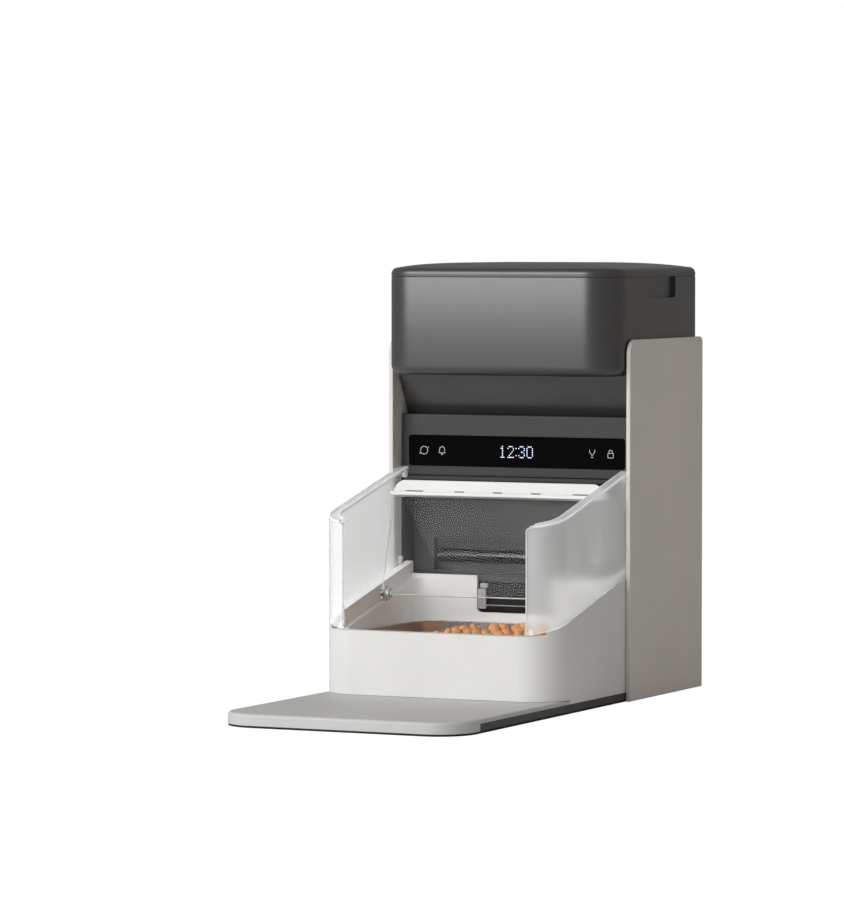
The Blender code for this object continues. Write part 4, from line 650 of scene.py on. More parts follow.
def cut_drive(housing):
    """Holes for the cover's pins and ears, and room for its gears and motor."""
    for side in (-1, 1):
        ends = sorted((side * (TUB_HALF - PIN_HOLE_START), side * (HALF_WIDTH - PIN_HOLE_STOP)))
        cut(housing, rod("pin_hole", PIN_HOLE, *ends, "X", (PIN_Y, PIN_Z), PIN_HOLE_SIDES))
        ends = sorted((side * (TUB_HALF - EAR_ROOM_DEPTH), side * (TUB_HALF + GAP)))
        cut(housing, rod("ear_room", EAR_ROOM, *ends, "X", (PIN_Y, PIN_Z)))
    neck_top = PIN_Z + BAY_NECK
    bay = rounded([
        (PIN_Y - BAY_HALF, -OVER, 0), (PIN_Y + BAY_HALF, -OVER, 0), (PIN_Y + BAY_HALF, BAY_TOP, BAY_ROUND),
        (PIN_Y + BAY_NECK, BAY_TOP, 0), (PIN_Y + BAY_NECK, neck_top, BAY_NECK_ROUND),
        (PIN_Y - BAY_NECK, neck_top, BAY_NECK_ROUND), (PIN_Y - BAY_NECK, BAY_TOP, 0),
        (PIN_Y - BAY_HALF, BAY_TOP, BAY_ROUND)])
    gear_start = low("cover_drive_gear").x
    cut(housing, prism("gear_bay", bay, gear_start - 2 * GAP, high("cover_gear").x + BAY_PLAY, "X"))
    cut(housing, box("motor_bay", low("cover_motor").x - GAP, gear_start, PIN_Y - MOTOR_BAY_HALF,
                     PIN_Y + MOTOR_BAY_HALF, -2 * OVER, MOTOR_BAY_TOP))


def make_housing():
    wide = HALF_WIDTH + OVER
    bottom = HOUSING_LOW.z
    plan = front_outline(HALF_WIDTH, HOUSING_FRONT, HOUSING_BACK, HOUSING_CORNER)
    housing = prism("housing_shell", plan, bottom, HOUSING_TOP)
    keep_inside(housing, prism("rim", side_profile(RAIL_RISE, bottom - OVER), -wide, wide, "X"))
    plate_back = HOUSING_FRONT + HOUSING_CORNER + GAP
    cut(housing, box("plate_room", -wide, wide, HOUSING_FRONT - OVER, plate_back, 0, PLATE_TOP + GAP))
    seat = box("seat", -wide, wide, HOUSING_FRONT - OVER, HOUSING_BACK + OVER, RIM_FRONT_Z - OVER,
               HOUSING_TOP)
    rail = front_outline(HALF_WIDTH, HOUSING_FRONT, HOUSING_BACK + 2 * OVER, HOUSING_CORNER, GUARD_SEAT)
    cut(seat, prism("rail", rail, 0, HOUSING_TOP + OVER))
    below = side_profile(0.0, 0.0, HOUSING_FRONT - 2 * OVER)
    cut(seat, prism("seat_rim", below, -2 * wide, 2 * wide, "X"))
    cut(housing, seat)
    cut_tub(housing)
    cut_drive(housing)
    shell = front_outline(HALF_WIDTH, HOUSING_FRONT, HOUSING_BACK - SHELL_WALL, HOUSING_CORNER, SHELL_WALL)
    hollow = prism("hollow", shell, -OVER, BOWL_SEAT_Z - SHELL_CEILING)
    cut(hollow, prism("core", bowl_plan(BOWL_HOLE_EDGE - SHELL_WALL), -2 * OVER, HOUSING_TOP))
    cut(housing, hollow)
    soften(housing, HOUSING_SOFT, 3, 32)
    piece(housing, "feeder", "white_plastic", WHITE, ["bowl_housing"])


# Step plate, side panels and bowl
PLATE_CORNER = 0.033
PLATE_LIP = 0.003
PLATE_LIP_REACH = 0.040
PLATE_ROUND = 0.0027


def make_plate():
    node_low, node_high = low("step_plate"), high("step_plate")
    plan = front_outline(node_high.x, node_low.y, node_high.y, PLATE_CORNER)
    plate = prism("step_deck", plan, node_low.z, node_high.z)
    bevel_level(plate, node_high.z, PLATE_ROUND, 8)
    tray_top = high("base_tray").z + GAP
    under = front_outline(node_high.x, node_low.y, node_high.y + OVER, PLATE_CORNER, PLATE_LIP)
    cut(plate, prism("under", under, -OVER, tray_top))
    wide = node_high.x + OVER
    cut(plate, box("behind_lip", -wide, wide, node_low.y + PLATE_LIP_REACH, node_high.y + OVER, -OVER,
                   tray_top))
    piece(plate, "feeder", "plate_grey", PLATE, ["step_plate"])


PANEL_REAR_CORNER = 0.005
PANEL_CORNER = 0.0125
PANEL_SOFT = 0.0009


def make_side_panels():
    for name in ("side_panel_left", "side_panel_right"):
        node_low, node_high = low(name), high(name)
        outline = rounded([
            (node_low.y, node_low.z, 0), (node_high.y, node_low.z, 0),
            (node_high.y, node_high.z, PANEL_REAR_CORNER), (node_low.y, node_high.z, PANEL_CORNER)])
        panel = prism(name + "_skin", outline, node_low.x, node_high.x, "X")
        soften(panel, PANEL_SOFT, 3, 40)
        piece(panel, "feeder", "stone_panel", STONE, [name])


def bowl_rings(inset, bottom, radius, top):
    rings = []
    steps = 14
    for step in range(steps + 1):
        turn = math.pi / 2 * step / steps
        rings.append((inset + radius * (1 - math.sin(turn)), bottom + radius * (1 - math.cos(turn))))
    return rings + [(inset, top)]


BOWL_SHEET = 0.0014
BOWL_ROUND = 0.012
BOWL_LIP = 0.0012


def make_bowl():
    rim_round = BOWL_SHEET / 2
    top = BOWL_HIGH.z
    outside = bowl_rings(BOWL_FLANGE, BOWL_LOW.z, BOWL_ROUND, top - BOWL_SHEET)
    inside = bowl_rings(BOWL_FLANGE + BOWL_SHEET, BOWL_LOW.z + BOWL_SHEET, BOWL_ROUND - BOWL_SHEET,
                        top - BOWL_LIP)
    lip = [(BOWL_FLANGE + BOWL_SHEET - BOWL_LIP * math.cos(turn), top - BOWL_LIP + BOWL_LIP * math.sin(turn))
           for turn in (math.pi / 8, math.pi / 4, 3 * math.pi / 8, math.pi / 2)]
    edge = [(rim_round * (1 - math.cos(turn)), top - rim_round - rim_round * math.sin(turn))
            for turn in (math.pi / 2, math.pi / 4, 0, -math.pi / 4, -math.pi / 2)]
    profile = outside + edge + lip[::-1] + inside[::-1]
    rings = [[(x, y, z) for x, y in bowl_plan(inset)] for inset, z in profile]
    piece(loft("bowl_sheet", rings, 50), "food_bowl", "bowl_steel", BOWL_STEEL, ["bowl"])


make_housing()
make_plate()
make_side_panels()
make_bowl()

# Clear guards
GUARD_SHEET = 0.0024
GUARD_FLANGE = 0.0093
GUARD_FRONT_TOP = 0.0910
GUARD_REAR_TOP = 0.0880
GUARD_WRAP = 0.0259
GUARD_BACK = high("guard_left").y
WING_CORNER = 0.0045
TAB_WIDTH = 0.0045
GUARD_SOFT = 0.0007


def guard_top(y):
    front_z = rim_z(HOUSING_FRONT) + GUARD_FRONT_TOP
    rear_z = rim_z(GUARD_BACK) + GUARD_REAR_TOP
    return front_z + (rear_z - front_z) * (y - HOUSING_FRONT) / (GUARD_BACK - HOUSING_FRONT)


def guard_profile(drop):
    front, back = HOUSING_FRONT - OVER, GUARD_BACK + OVER
    return [(front, 0), (back, 0), (back, guard_top(back) - drop), (front, guard_top(front) - drop)]


def make_guards():
    wide = HALF_WIDTH + OVER
    top = high("guard_left").z + 2 * OVER
    behind = GUARD_BACK + OVER
    wing_top = guard_top(HOUSING_FRONT)
    wing_end = HALF_WIDTH - GUARD_WRAP
    for name, side in (("guard_left", -1), ("guard_right", 1)):
        plan = front_outline(HALF_WIDTH, HOUSING_FRONT, GUARD_BACK, HOUSING_CORNER)
        guard = prism(name + "_sheet", plan, 0, top)
        keep_inside(guard, prism("slope", guard_profile(0.0), -wide, wide, "X"))
        flange = front_outline(HALF_WIDTH, HOUSING_FRONT, behind, HOUSING_CORNER, GUARD_FLANGE)
        cut(guard, prism("flange", flange, -OVER, top + OVER))
        under = front_outline(HALF_WIDTH, HOUSING_FRONT, behind, HOUSING_CORNER, GUARD_SHEET)
        hollow = prism("hollow", under, -OVER, top)
        keep_inside(hollow, prism("slope", guard_profile(GUARD_SHEET), -wide, wide, "X"))
        cut(guard, hollow)
        cut(guard, prism("rim", side_profile(GAP, -OVER), -wide, wide, "X"))
        away = sorted((side * wing_end, -side * wide))
        cut(guard, box("away", *away, HOUSING_FRONT - OVER, behind, -OVER, top + OVER))
        across = sorted((side * (wing_end - OVER), side * (wing_end + WING_CORNER)))
        bite = box("bite", *across, HOUSING_FRONT - OVER, HOUSING_FRONT + GUARD_FLANGE + OVER,
                   wing_top - WING_CORNER, wing_top + OVER)
        centre = (side * (wing_end + WING_CORNER), wing_top - WING_CORNER)
        cut(bite, rod("round", WING_CORNER, HOUSING_FRONT - 2 * OVER, HOUSING_FRONT + 3 * OVER, "Y", centre))
        cut(guard, bite)
        soften(guard, GUARD_SOFT, 3, 40)
        piece(guard, "feeder", "clear_plastic", FROST, [name])
        make_guard_tabs(name, side, wing_end)


FOOT_LAP = 0.0004
FOOT_LIFT = 0.0006
FOOT_SOFT = 0.0005
WING_FOOT_INSET = 0.0008
WING_FOOT_DEPTH = 0.0028
WING_FOOT_HEIGHT = 0.0052
SIDE_FOOT_DEPTH = 0.0024
SIDE_FEET = ((GUARD_BACK - 0.0062, 0.0074), (RIM_CORNER_Y + 0.012, 0.0046))
HOOK_X = (0.0088, 0.0048)
HOOK_Y = (0.0052, 0.0006)
HOOK_Z = (0.0098, 0.0030)
HOOK_SOFT = 0.0008


def make_guard_tabs(name, side, wing_end):
    """Small feet at the wing and at the rear end that hold the guard in the housing."""
    tabs = []
    start = wing_end + WING_FOOT_INSET
    ends = sorted((side * start, side * (start + TAB_WIDTH)))
    front = HOUSING_FRONT + GUARD_SHEET
    low_z = rim_z(HOUSING_FRONT) + FOOT_LIFT
    tabs.append(box("tab", *ends, front - FOOT_LAP, front + WING_FOOT_DEPTH, low_z,
                    low_z + WING_FOOT_HEIGHT))
    inner = HALF_WIDTH - GUARD_SHEET
    for place, height in SIDE_FEET:
        ends = sorted((side * (inner - SIDE_FOOT_DEPTH), side * (inner + FOOT_LAP)))
        low_z = rim_z(place) + RAIL_RISE + FOOT_LIFT
        tabs.append(box("tab", *ends, place, place + TAB_WIDTH, low_z, low_z + height))
    for tab in tabs:
        soften(tab, FOOT_SOFT, 2)
    rear_z = guard_top(GUARD_BACK)
    ends = sorted(side * (HALF_WIDTH - inset) for inset in HOOK_X)
    hook = box("hook", *ends, GUARD_BACK - HOOK_Y[0], GUARD_BACK - HOOK_Y[1], rear_z - HOOK_Z[0],
               rear_z - HOOK_Z[1])
    soften(hook, HOOK_SOFT, 3)
    piece(joined(name + "_feet", tabs + [hook]), "feeder", "clear_plastic", FROST)


# Cover of the bowl
COVER_LEAN = math.radians(15.15)
COVER_SHEET = 0.0024
COVER_REACH = 0.101
BAR_HEIGHT = 0.0115
BAR_CORNER = 0.0113
LIP_CORNER = 0.0020
LIP_DEPTH = 0.0065
LIP_HEIGHT = 0.0035
SLOT_PITCH = 0.0363
SLOT_WIDTH = 0.009
WIDE_SLOT_PLACE = 0.0795
WIDE_SLOT_WIDTH = 0.017
SLOT_HEIGHT = 0.0021
COVER_HALF = TUB_HALF - 0.0008
AXIS_PLACE = Vector((0, PIN_Y, PIN_Z))
COVER_EDGE = 0.0008
COVER_BACK_EDGE = 0.0004
BAR_EDGE = 0.0009
BAR_STEP = 0.0006
BAR_SOFT = 0.0003
PANE_DROP = 0.0012
PANE_SOFT = 0.0004
EAR_RADIUS = 0.0065
EAR_WIDTH = 0.004
SLOT_SHADE_INSET = 0.004
SLOT_SHADE_Y = (0.0001, 0.0008)
SLOT_SHADE_DROP = 0.0008
KNOB_X = (0.0079, 0.0036)
KNOB_RADIUS = 0.0044
KNOB_SOFT = 0.0007


def leaned(obj):
    """Turns an upright piece of the cover to the open cover's lean."""
    lean = Matrix.Rotation(-COVER_LEAN, 4, "X")
    obj.data.transform(Matrix.Translation(AXIS_PLACE) @ lean @ Matrix.Translation(-AXIS_PLACE))
    return obj


def make_cover():
    pin = (AXIS_PLACE.y, AXIS_PLACE.z)
    y_back = AXIS_PLACE.y + COVER_SHEET / 2
    y_front = AXIS_PLACE.y - COVER_SHEET / 2
    bar_top = AXIS_PLACE.z + COVER_REACH
    bar_bottom = bar_top - BAR_HEIGHT - LIP_HEIGHT
    lip_top = bar_bottom + LIP_HEIGHT
    lip_y = y_front - LIP_DEPTH
    profile = rounded([
        (lip_y, bar_bottom, COVER_EDGE), (y_back, bar_bottom, COVER_BACK_EDGE), (y_back, bar_top, BAR_EDGE),
        (y_front, bar_top, BAR_EDGE), (y_front, lip_top, BAR_STEP), (lip_y, lip_top, COVER_EDGE)], 6)
    bar = prism("cover_rail", profile, -COVER_HALF, COVER_HALF, "X")
    face = rounded([
        (-COVER_HALF, bar_bottom, LIP_CORNER), (COVER_HALF, bar_bottom, LIP_CORNER),
        (COVER_HALF, bar_top, BAR_CORNER), (-COVER_HALF, bar_top, BAR_CORNER)])
    keep_inside(bar, prism("face", face, y_front - OVER, y_back + OVER, "Y"))
    slots = [(index * SLOT_PITCH, SLOT_WIDTH) for index in (-1, 0, 1)]
    slots += [(side * WIDE_SLOT_PLACE, WIDE_SLOT_WIDTH) for side in (-1, 1)]
    for middle, width in slots:
        cut(bar, box("slot", middle - width / 2, middle + width / 2, y_front - OVER, y_back + OVER,
                     lip_top, lip_top + SLOT_HEIGHT))
    soften(bar, BAR_SOFT, 2, 50)
    piece(leaned(bar), "cover", "white_plastic", WHITE, ["cover_bar"])

    pane = box("cover_pane", -COVER_HALF, COVER_HALF, y_front, y_back, pin[1] - PANE_DROP, bar_bottom - GAP)
    leaned(pane)
    for side in (-1, 1):
        ends = sorted((side * (COVER_HALF - GAP), side * (COVER_HALF - EAR_WIDTH)))
        join(pane, rod("ear", EAR_RADIUS, *ends, "X", pin))
        ends = sorted((side * (COVER_HALF + OVER), side * (COVER_HALF - 2 * EAR_WIDTH)))
        cut(pane, rod("hole", PIN_HOLE, *ends, "X", pin, PIN_HOLE_SIDES))
    soften(pane, PANE_SOFT, 2, 40)
    piece(pane, "cover", "clear_plastic", CLEAR, ["cover_panel"])
    # Black strip behind the cover bar's slots: painted shade seen through the slots
    reach = COVER_HALF - SLOT_SHADE_INSET
    slot_shade = box("cover_bar_slot_shade", -reach, reach, y_back + SLOT_SHADE_Y[0], y_back + SLOT_SHADE_Y[1],
               lip_top - SLOT_SHADE_DROP, lip_top + 2 * SLOT_HEIGHT)
    piece(leaned(slot_shade), "cover", "foot_rubber", RUBBER)
    for side, name in ((-1, "cover_pin_left"), (1, "cover_pin_right")):
        ends = sorted(side * (COVER_HALF - inset) for inset in KNOB_X)
        knob = rod(name + "_head", KNOB_RADIUS, *ends, "X", pin)
        soften(knob, KNOB_SOFT, 3, 40)
        piece(knob, "cover", "clear_plastic", FROST)


# Display
DOT_PITCH_X = 0.0013
DOT_PITCH_Z = 0.00156
DOT_RADIUS = 0.00042
SIGN_THICKNESS = 0.00006
STROKE = 0.00034
DIGITS = {
    "0": (14, 17, 17, 17, 17, 17, 14), "1": (4, 12, 4, 4, 4, 4, 14), "2": (14, 17, 1, 2, 4, 8, 31),
    "3": (14, 17, 1, 6, 1, 17, 14), ":": (0, 1, 0, 0, 0, 1, 0),
}
SHOWN_TIME = "12:30"


def sign_front():
    return low("display_lens").y - SIGN_THICKNESS


def display_middle():
    return (low("display_lens").z + high("display_lens").z) / 2


def make_time():
    """Plain time of day in dots."""
    widths = [1 if sign == ":" else 5 for sign in SHOWN_TIME]
    total = sum(widths) + len(widths) - 1
    bm = bmesh.new()
    column = 0
    for sign, width in zip(SHOWN_TIME, widths):
        for row, bits in enumerate(DIGITS[sign]):
            for place in range(width):
                if not bits >> (width - 1 - place) & 1:
                    continue
                x = (column + place - (total - 1) / 2) * DOT_PITCH_X
                z = display_middle() + (3 - row) * DOT_PITCH_Z
                spot = Matrix.Translation((x, sign_front(), z)) @ Matrix.Rotation(math.pi / 2, 4, "X")
                bmesh.ops.create_cone(bm, cap_ends=True, segments=10, radius1=DOT_RADIUS, radius2=DOT_RADIUS,
                                      depth=2 * SIGN_THICKNESS, matrix=spot)
        column += width + 1
    piece(link("time_dots", bm), "feeder", "display_glass", LED)


def stroke(points, closed):
    """Thin raised line through points (x, z) on the display."""
    path = [Vector(point) for point in points]
    count = len(path)
    left, right = [], []
    for index, here in enumerate(path):
        before = path[index - 1] if index or closed else here
        after = path[(index + 1) % count] if index + 1 < count or closed else here
        along = (after - before).normalized()
        across = Vector((-along.y, along.x)) * STROKE / 2
        left.append(here + across)
        right.append(here - across)
    y = sign_front()
    if not closed:
        return [prism("line", left + right[::-1], y, y + 2 * SIGN_THICKNESS, "Y")]
    pairs = range(count)
    return [prism("line", (left[i], left[(i + 1) % count], right[(i + 1) % count], right[i]), y,
                  y + 2 * SIGN_THICKNESS, "Y") for i in pairs]


def arc(centre, radius, start, end, steps=24):
    turns = [math.radians(start + (end - start) * step / steps) for step in range(steps + 1)]
    return [(centre[0] + radius * math.cos(t), centre[1] + radius * math.sin(t)) for t in turns]


# Icons in tenths of a millimetre: place along the display, then lines of points (x, z) or
# arcs (x, z, radius, start, end, steps), each with its end joined to its start or not
ICON_UNIT = 0.0001
ICONS = (
    (-886, (((0, 0, 34, 40, 200, 24),), False), (((0, 0, 34, 220, 380, 24),), False),
     (((20, 28), (34, 16), (42, 32)), False), (((-20, -28), (-34, -16), (-42, -32)), False)),
    (-712, (((-32, -20), (-24, -8), (0, 10, 24, 180, 0, 16), (24, -8), (32, -20)), True),
     (((0, -26, 9, 180, 360, 8),), False)),
    (721, (((-24, 34), (-24, 10), (-6, -6), (-6, -16)), False),
     (((24, 34), (24, 10), (6, -6), (6, -16)), False), (((-12, -32), (12, -32)), False)),
    (895, (((-16, 6), (0, 18, 16, 180, 0, 12), (16, 6)), False)),
)
LOCK_BODY = (-26, 26, -34, 6, 7)


def icon_line(x, parts):
    """Points of an icon's line on the display."""
    z = display_middle()
    line = []
    for part in parts:
        place = (x + part[0] * ICON_UNIT, z + part[1] * ICON_UNIT)
        line += arc(place, part[2] * ICON_UNIT, *part[3:]) if len(part) > 2 else [place]
    return line


def make_icons():
    lines = []
    for middle, *drawn in ICONS:
        for parts, closed in drawn:
            lines += stroke(icon_line(middle * ICON_UNIT, parts), closed)
    x, z = ICONS[-1][0] * ICON_UNIT, display_middle()
    left, right, bottom, top, corner = [value * ICON_UNIT for value in LOCK_BODY]
    lines += stroke(rectangle(x + left, x + right, z + bottom, z + top, corner, 4), True)
    piece(joined("touch_icons", lines), "feeder", "display_glass", ICON)


# Kibble
KIBBLE_LEVEL = 0.0575
KIBBLE_STEP = 0.0098
KIBBLE_START = -0.062
KIBBLE_SLOPE_START = -0.020
KIBBLE_SLOPE_REACH = 0.050
KIBBLE_EDGE = 0.009
KIBBLE_SHIFT = 0.0016
KIBBLE_LAYERS = 3
KIBBLE_LAYER = 0.0048
KIBBLE_TOP_GAPS = 0.45
KIBBLE_FALL = 0.013
KIBBLE_UNDER = 0.0065
KIBBLE_UNEVEN = 0.0008
KIBBLE_SIZES = (0.0044, 0.0054)
KIBBLE_TIP = 0.9
KIBBLE_FLAT = 0.68
KIBBLE_LOBES = 0.07
KIBBLE_ROUGH = 0.10
KIBBLE_PITS = 420
KIBBLE_APART = 900
KIBBLE_BED = (0.016, 0.0210)


def add_kibble(bm, chance, x, y, z):
    """One piece of dry food: a flattened ball with three lobes, tipped at random."""
    size = chance.uniform(*KIBBLE_SIZES)
    turn = Matrix.Rotation(chance.uniform(0, math.tau), 4, "Z")
    tip = Matrix.Rotation(chance.uniform(-KIBBLE_TIP, KIBBLE_TIP), 4, "X")
    tip = tip @ Matrix.Rotation(chance.uniform(-KIBBLE_TIP, KIBBLE_TIP), 4, "Y")
    place = Matrix.Translation((x, y, z)) @ tip @ turn @ Matrix.Diagonal((1, 1, KIBBLE_FLAT, 1))
    made = bmesh.ops.create_icosphere(bm, subdivisions=2, radius=size)
    for vertex in made["verts"]:
        around = math.atan2(vertex.co.y, vertex.co.x)
        lobes = 1 + KIBBLE_LOBES * math.cos(3 * around)
        spot = vertex.co * KIBBLE_PITS + Vector((x, y, z)) * KIBBLE_APART
        rough = 1 + KIBBLE_ROUGH * noise.noise(spot)
        vertex.co = place @ (vertex.co * lobes * rough)


def make_kibble():
    chance = random.Random(11)
    bm = bmesh.new()
    inset = BOWL_FLANGE + KIBBLE_EDGE
    half = BOWL_HIGH.x - inset
    front = BOWL_LOW.y + inset
    back = BOWL_HIGH.y - inset
    corner = BOWL_CORNER - inset
    columns = int(2 * half / KIBBLE_STEP)
    rows = int((back - front) / KIBBLE_STEP)
    for layer in range(KIBBLE_LAYERS):
        for column in range(columns + 1):
            for row in range(rows + 1):
                x = -half + (column + (row + layer) % 2 / 2) * KIBBLE_STEP
                x += chance.uniform(-KIBBLE_SHIFT, KIBBLE_SHIFT)
                y = front + (row + layer / KIBBLE_LAYERS) * KIBBLE_STEP
                y += chance.uniform(-KIBBLE_SHIFT, KIBBLE_SHIFT)
                beyond_x = max(abs(x) - (half - corner), 0)
                beyond_y = max(front + corner - y, y - (back - corner), 0)
                if math.hypot(beyond_x, beyond_y) > corner:
                    continue
                if x < KIBBLE_START or layer == KIBBLE_LAYERS - 1 and chance.random() < KIBBLE_TOP_GAPS:
                    continue
                down = min(max((KIBBLE_SLOPE_START - x) / KIBBLE_SLOPE_REACH, 0), 1)
                z = KIBBLE_LEVEL - KIBBLE_UNDER + KIBBLE_LAYER * layer - KIBBLE_FALL * down
                z += chance.uniform(-KIBBLE_UNEVEN, KIBBLE_UNEVEN)
                add_kibble(bm, chance, x, y, z)
    bed = rectangle(KIBBLE_SLOPE_START, half, front, back, corner)
    levels = (BOWL_LOW.z + KIBBLE_BED[0], KIBBLE_LEVEL - KIBBLE_BED[1])
    cover_loops(bm, [[bm.verts.new((x, y, level)) for x, y in bed] for level in levels])
    piece(link("kibble", bm, 80), "food_bowl", None, KIBBLE)


make_guards()
make_cover()
make_time()
make_icons()
make_kibble()

# Painted highlight lines along the clear edges, and painted shade: a black sheet round the outlet
EDGE_RADIUS = 0.0005
EDGE_SIDES = 8
EDGE_SMOOTH = 80
SHADE_SHEET = 0.0008
OUTLET_HALF = 0.0264


def bead(points, radius=EDGE_RADIUS):
    """Round thread along points in space."""
    path = [Vector(point) for point in points]
    bm = bmesh.new()
    rings = []
    across = None
    for index, here in enumerate(path):
        along = (path[min(index + 1, len(path) - 1)] - path[max(index - 1, 0)]).normalized()
        across = (across - along * across.dot(along) if across else along.orthogonal()).normalized()
        other = along.cross(across)
        turns = [math.tau * step / EDGE_SIDES for step in range(EDGE_SIDES)]
        places = [here + radius * (across * math.cos(t) + other * math.sin(t)) for t in turns]
        rings.append([bm.verts.new(place) for place in places])
    cover_loops(bm, rings)
    return link("bead", bm, EDGE_SMOOTH)


EDGE_IN = 0.0006
EDGE_DROP = 0.0005
FLANGE_DROP = 0.0021
EDGE_BACK = 0.0003
EDGE_END = 0.0006
EDGE_LIFT = 0.0008
REAR_EDGE_X = 0.0012
REAR_EDGE_TOP = 0.0012
REAR_EDGE_LIFT = 0.001


# Near-white threads along the guards' clear edges, as painted highlight lines
def make_guard_highlights():
    wing_end = HALF_WIDTH - GUARD_WRAP
    flange = GUARD_FLANGE - EDGE_DROP
    for name, side in (("guard_left", -1), ("guard_right", 1)):
        beads = []
        for inset, drop in ((EDGE_IN, EDGE_DROP), (flange, EDGE_DROP), (flange, FLANGE_DROP)):
            plan = front_outline(HALF_WIDTH, HOUSING_FRONT, GUARD_BACK - EDGE_BACK, HOUSING_CORNER, inset)
            start = wing_end + (WING_CORNER if drop < FLANGE_DROP else EDGE_END)
            path = [(x, y) for x, y in plan if side * x > start]
            path.sort(key=lambda point: (point[1], -side * point[0]))
            path = [(side * start, HOUSING_FRONT + inset)] + path
            beads.append(bead([(x, y, guard_top(y) - drop) for x, y in path]))
        y = HOUSING_FRONT + EDGE_IN
        top = guard_top(HOUSING_FRONT)
        corner = arc((wing_end + WING_CORNER, top - WING_CORNER), WING_CORNER - EDGE_IN, 180, 90, 10)
        edge = [(wing_end + EDGE_END, rim_z(HOUSING_FRONT) + EDGE_LIFT)] + corner
        beads.append(bead([(side * x, y, z) for x, z in edge]))
        ends = (rim_z(GUARD_BACK) + RAIL_RISE + REAR_EDGE_LIFT, guard_top(GUARD_BACK) - REAR_EDGE_TOP)
        beads.append(bead([(side * (HALF_WIDTH - REAR_EDGE_X), GUARD_BACK - EDGE_END, z) for z in ends]))
        piece(joined(name + "_highlights", beads, EDGE_SMOOTH), "feeder", "clear_plastic", PAINTED_HIGHLIGHT)


COVER_EDGE_IN = 0.0004
COVER_EDGE_DROP = 0.0008
COVER_EDGE_RADIUS = 0.0003


# Near-white threads along the cover pane's clear edges, as painted highlight lines
def make_cover_highlights():
    y = AXIS_PLACE.y - COVER_SHEET / 2 + COVER_EDGE_IN
    bottom = AXIS_PLACE.z - COVER_EDGE_DROP
    top = AXIS_PLACE.z + COVER_REACH - BAR_HEIGHT - LIP_HEIGHT - GAP
    reach = COVER_HALF - COVER_EDGE_IN
    paths = [((side * reach, y, bottom), (side * reach, y, top)) for side in (-1, 1)]
    paths.append(((-reach, y, bottom), (reach, y, bottom)))
    beads = [bead(path, COVER_EDGE_RADIUS) for path in paths]
    piece(leaned(joined("cover_highlights", beads, EDGE_SMOOTH)), "cover", "clear_plastic", PAINTED_HIGHLIGHT)


OUTLET_CORNER = 0.004
OPENING_LOW = 0.0020
OPENING_TOP = 0.0022
BRACKET_FRONT = 0.0012
BRACKET_BACK = 0.0001
LEG_X = (0.0006, 0.0082)
LEG_Z = (0.0030, 0.0066)
LEG_SOFT = 0.0006
CAP_X = (0.0026, 0.0098)
CAP_Z = (0.0060, 0.0018)
CAP_STEP = 0.0006
CAP_SOFT = 0.0009
RIB_X = (0.0034, 0.0044)
RIB_Y = (0.0008, 0.0001)
RIB_Z = (0.0052, 0.0090)
THREAD_RADIUS = 0.0004
THREAD_INSET = 0.008
THREAD_RISE = 0.0062
THREAD_SIDES = 10


def make_outlet():
    frame_low, frame_high = low("outlet_frame"), high("outlet_frame")
    half = frame_high.x
    bottom, top = frame_low.z, frame_high.z
    outline = rectangle(-half, half, bottom, top, OUTLET_CORNER)
    # Black sheet with an opening behind the clear outlet frame: painted shade for the dark outlet
    shade_sheet = prism("outlet_painted_shade", outline, frame_high.y - SHADE_SHEET, frame_high.y, "Y")
    opening = OUTLET_HALF + 2 * GAP
    cut(shade_sheet, box("opening", -opening, opening, TUB_REAR - OVER, HOUSING_BACK + OVER,
                      bottom + OPENING_LOW, top - OPENING_TOP))
    piece(shade_sheet, "feeder", "flap_black", FLAP_BLACK)
    bracket = []
    front = frame_low.y - BRACKET_FRONT
    back = frame_high.y - SHADE_SHEET - BRACKET_BACK
    for side in (-1, 1):
        leg_x, cap_x, rib_x = [sorted(side * (half - inset) for inset in pair)
                               for pair in (LEG_X, CAP_X, RIB_X)]
        leg = box("leg", *leg_x, front, back, bottom + LEG_Z[0], top - LEG_Z[1])
        bracket.append(soften(leg, LEG_SOFT, 3))
        cap = box("cap", *cap_x, front + CAP_STEP, back, top - CAP_Z[0], top - CAP_Z[1])
        bracket.append(soften(cap, CAP_SOFT, 3))
        bracket.append(box("rib", *rib_x, front - RIB_Y[0], front + RIB_Y[1], bottom + RIB_Z[0],
                           top - RIB_Z[1]))
    reach = half - THREAD_INSET
    bracket.append(rod("thread", THREAD_RADIUS, -reach, reach, "X", (front + CAP_STEP, bottom + THREAD_RISE),
                       THREAD_SIDES))
    piece(joined("outlet_bracket", bracket), "feeder", "clear_plastic", FROST, ["outlet_frame"])


make_guard_highlights()
make_cover_highlights()
make_outlet()
for name in ("rear_body", "control_fascia"):
    dress(NODES[name], CHARCOAL_MATTE)

# Camera
CAMERA_PLACE = Vector((1.75855, -3.78168, 0.40352))
CAMERA_TURN = math.radians(25.4538)
CAMERA_DIP = math.radians(2.5472)
PHOTO_HEIGHT_PX = 900
FOCAL_PX = 4903.8
SENSOR = 36.0


def add_camera():
    data = bpy.data.cameras.new("camera")
    data.sensor_width = SENSOR
    data.lens = FOCAL_PX * SENSOR / PHOTO_HEIGHT_PX
    data.clip_end = 50
    camera = bpy.data.objects.new("camera", data)
    bpy.context.scene.collection.objects.link(camera)
    forward = Vector((
        -math.sin(CAMERA_TURN) * math.cos(CAMERA_DIP), math.cos(CAMERA_TURN) * math.cos(CAMERA_DIP),
        -math.sin(CAMERA_DIP)))
    camera.location = CAMERA_PLACE
    camera.rotation_euler = forward.to_track_quat("-Z", "Y").to_euler()
    bpy.context.scene.camera = camera


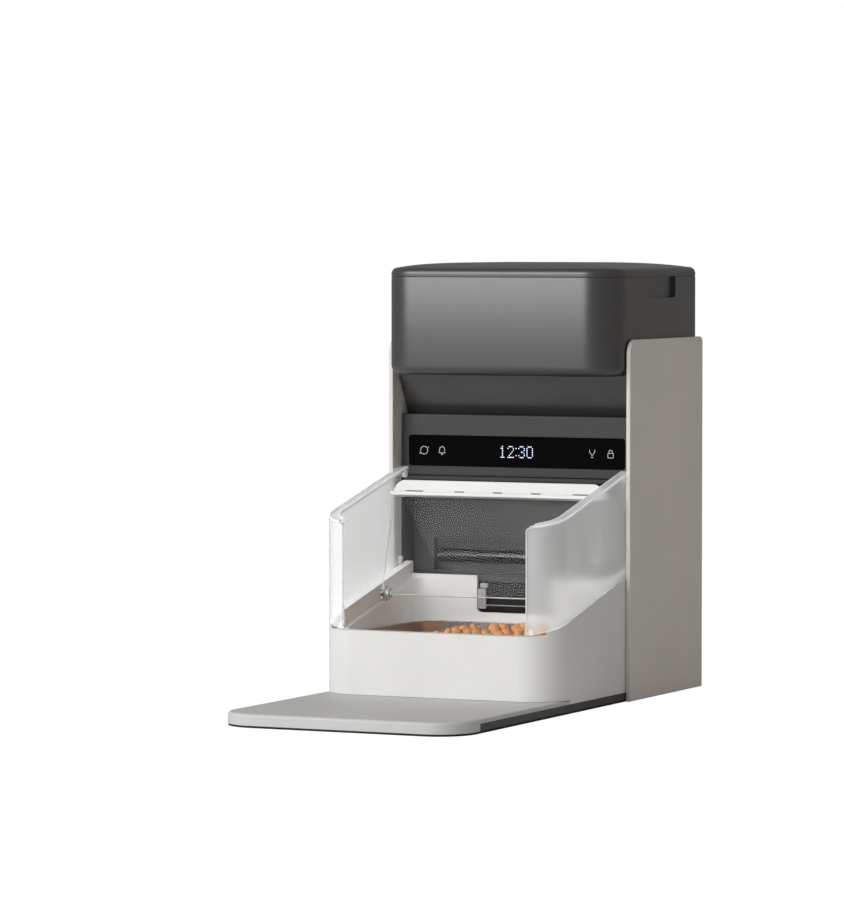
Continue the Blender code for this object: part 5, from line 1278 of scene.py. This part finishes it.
def add_light(name, place, target, width, height, power):
    data = bpy.data.lights.new(name, "AREA")
    data.shape = "RECTANGLE"
    data.size = width
    data.size_y = height
    data.energy = power
    light = bpy.data.objects.new(name, data)
    bpy.context.scene.collection.objects.link(light)
    light.location = place
    light.rotation_euler = (Vector(target) - Vector(place)).to_track_quat("-Z", "Y").to_euler()


WHITE_STRENGTH = 1.2


def direct_rays(tree):
    """1 for what the camera sees, also through clear pieces."""
    path = add_node(tree, "LightPath")
    either = add_node(tree, "Math")
    either.operation = "MAXIMUM"
    tree.links.new(path.outputs["Is Camera Ray"], either.inputs[0])
    tree.links.new(path.outputs["Is Transmission Ray"], either.inputs[1])
    return either.outputs[0]


def camera_white(tree, shader_output, white_share):
    """Mixes a plain white into what the camera sees, so that the ground stays pale."""
    links = tree.links
    seen = add_node(tree, "Math", {1: white_share})
    seen.operation = "MULTIPLY"
    links.new(direct_rays(tree), seen.inputs[0])
    white = add_node(tree, "Emission", {"Strength": WHITE_STRENGTH})
    mix = add_node(tree, "MixShader")
    links.new(seen.outputs[0], mix.inputs["Fac"])
    links.new(shader_output, mix.inputs[1])
    links.new(white.outputs[0], mix.inputs[2])
    return mix


FLOOR_SIZE = 6
FLOOR_DROP = 0.0002
FLOOR_COLOUR = (0.80, 0.80, 0.80, 1)
FLOOR_ROUGHNESS = 0.9
FLOOR_WHITE = 0.8
WORLD_LEVEL = 0.31
WORLD_COLOUR = (1.0, 0.955, 0.90, 1)


def add_floor():
    bm = bmesh.new()
    bmesh.ops.create_grid(bm, x_segments=1, y_segments=1, size=FLOOR_SIZE)
    floor = link("floor", bm)
    floor.location.z = -FLOOR_DROP
    material, tree, shader = new_material("floor_white")
    set_inputs(shader, {"Base Color": FLOOR_COLOUR, "Roughness": FLOOR_ROUGHNESS})
    mix = camera_white(tree, shader.outputs[0], FLOOR_WHITE)
    tree.links.new(mix.outputs[0], tree.nodes["Material Output"].inputs["Surface"])
    floor.data.materials.append(material)


def add_world():
    """Plain white for the camera, dimmer and warmer for the light on the feeder."""
    world = bpy.data.worlds.new("world")
    bpy.context.scene.world = world
    world.use_nodes = True
    tree = world.node_tree
    background, links = tree.nodes["Background"], tree.links
    direct = direct_rays(tree)
    strength = add_node(tree, "MapRange", {"To Min": WORLD_LEVEL, "To Max": 1.0})
    links.new(direct, strength.inputs["Value"])
    links.new(strength.outputs["Result"], background.inputs["Strength"])
    tint = add_node(tree, "Mix", {6: WORLD_COLOUR, 7: (1, 1, 1, 1)})
    tint.data_type = "RGBA"
    links.new(direct, tint.inputs[0])
    links.new(tint.outputs[2], background.inputs["Color"])


add_camera()
add_floor()
add_world()
add_light("key", (-0.99, -1.95, 1.22), (0, 0, 0.2), 2.0, 1.4, 46)
bpy.context.scene.view_settings.view_transform = "Standard"
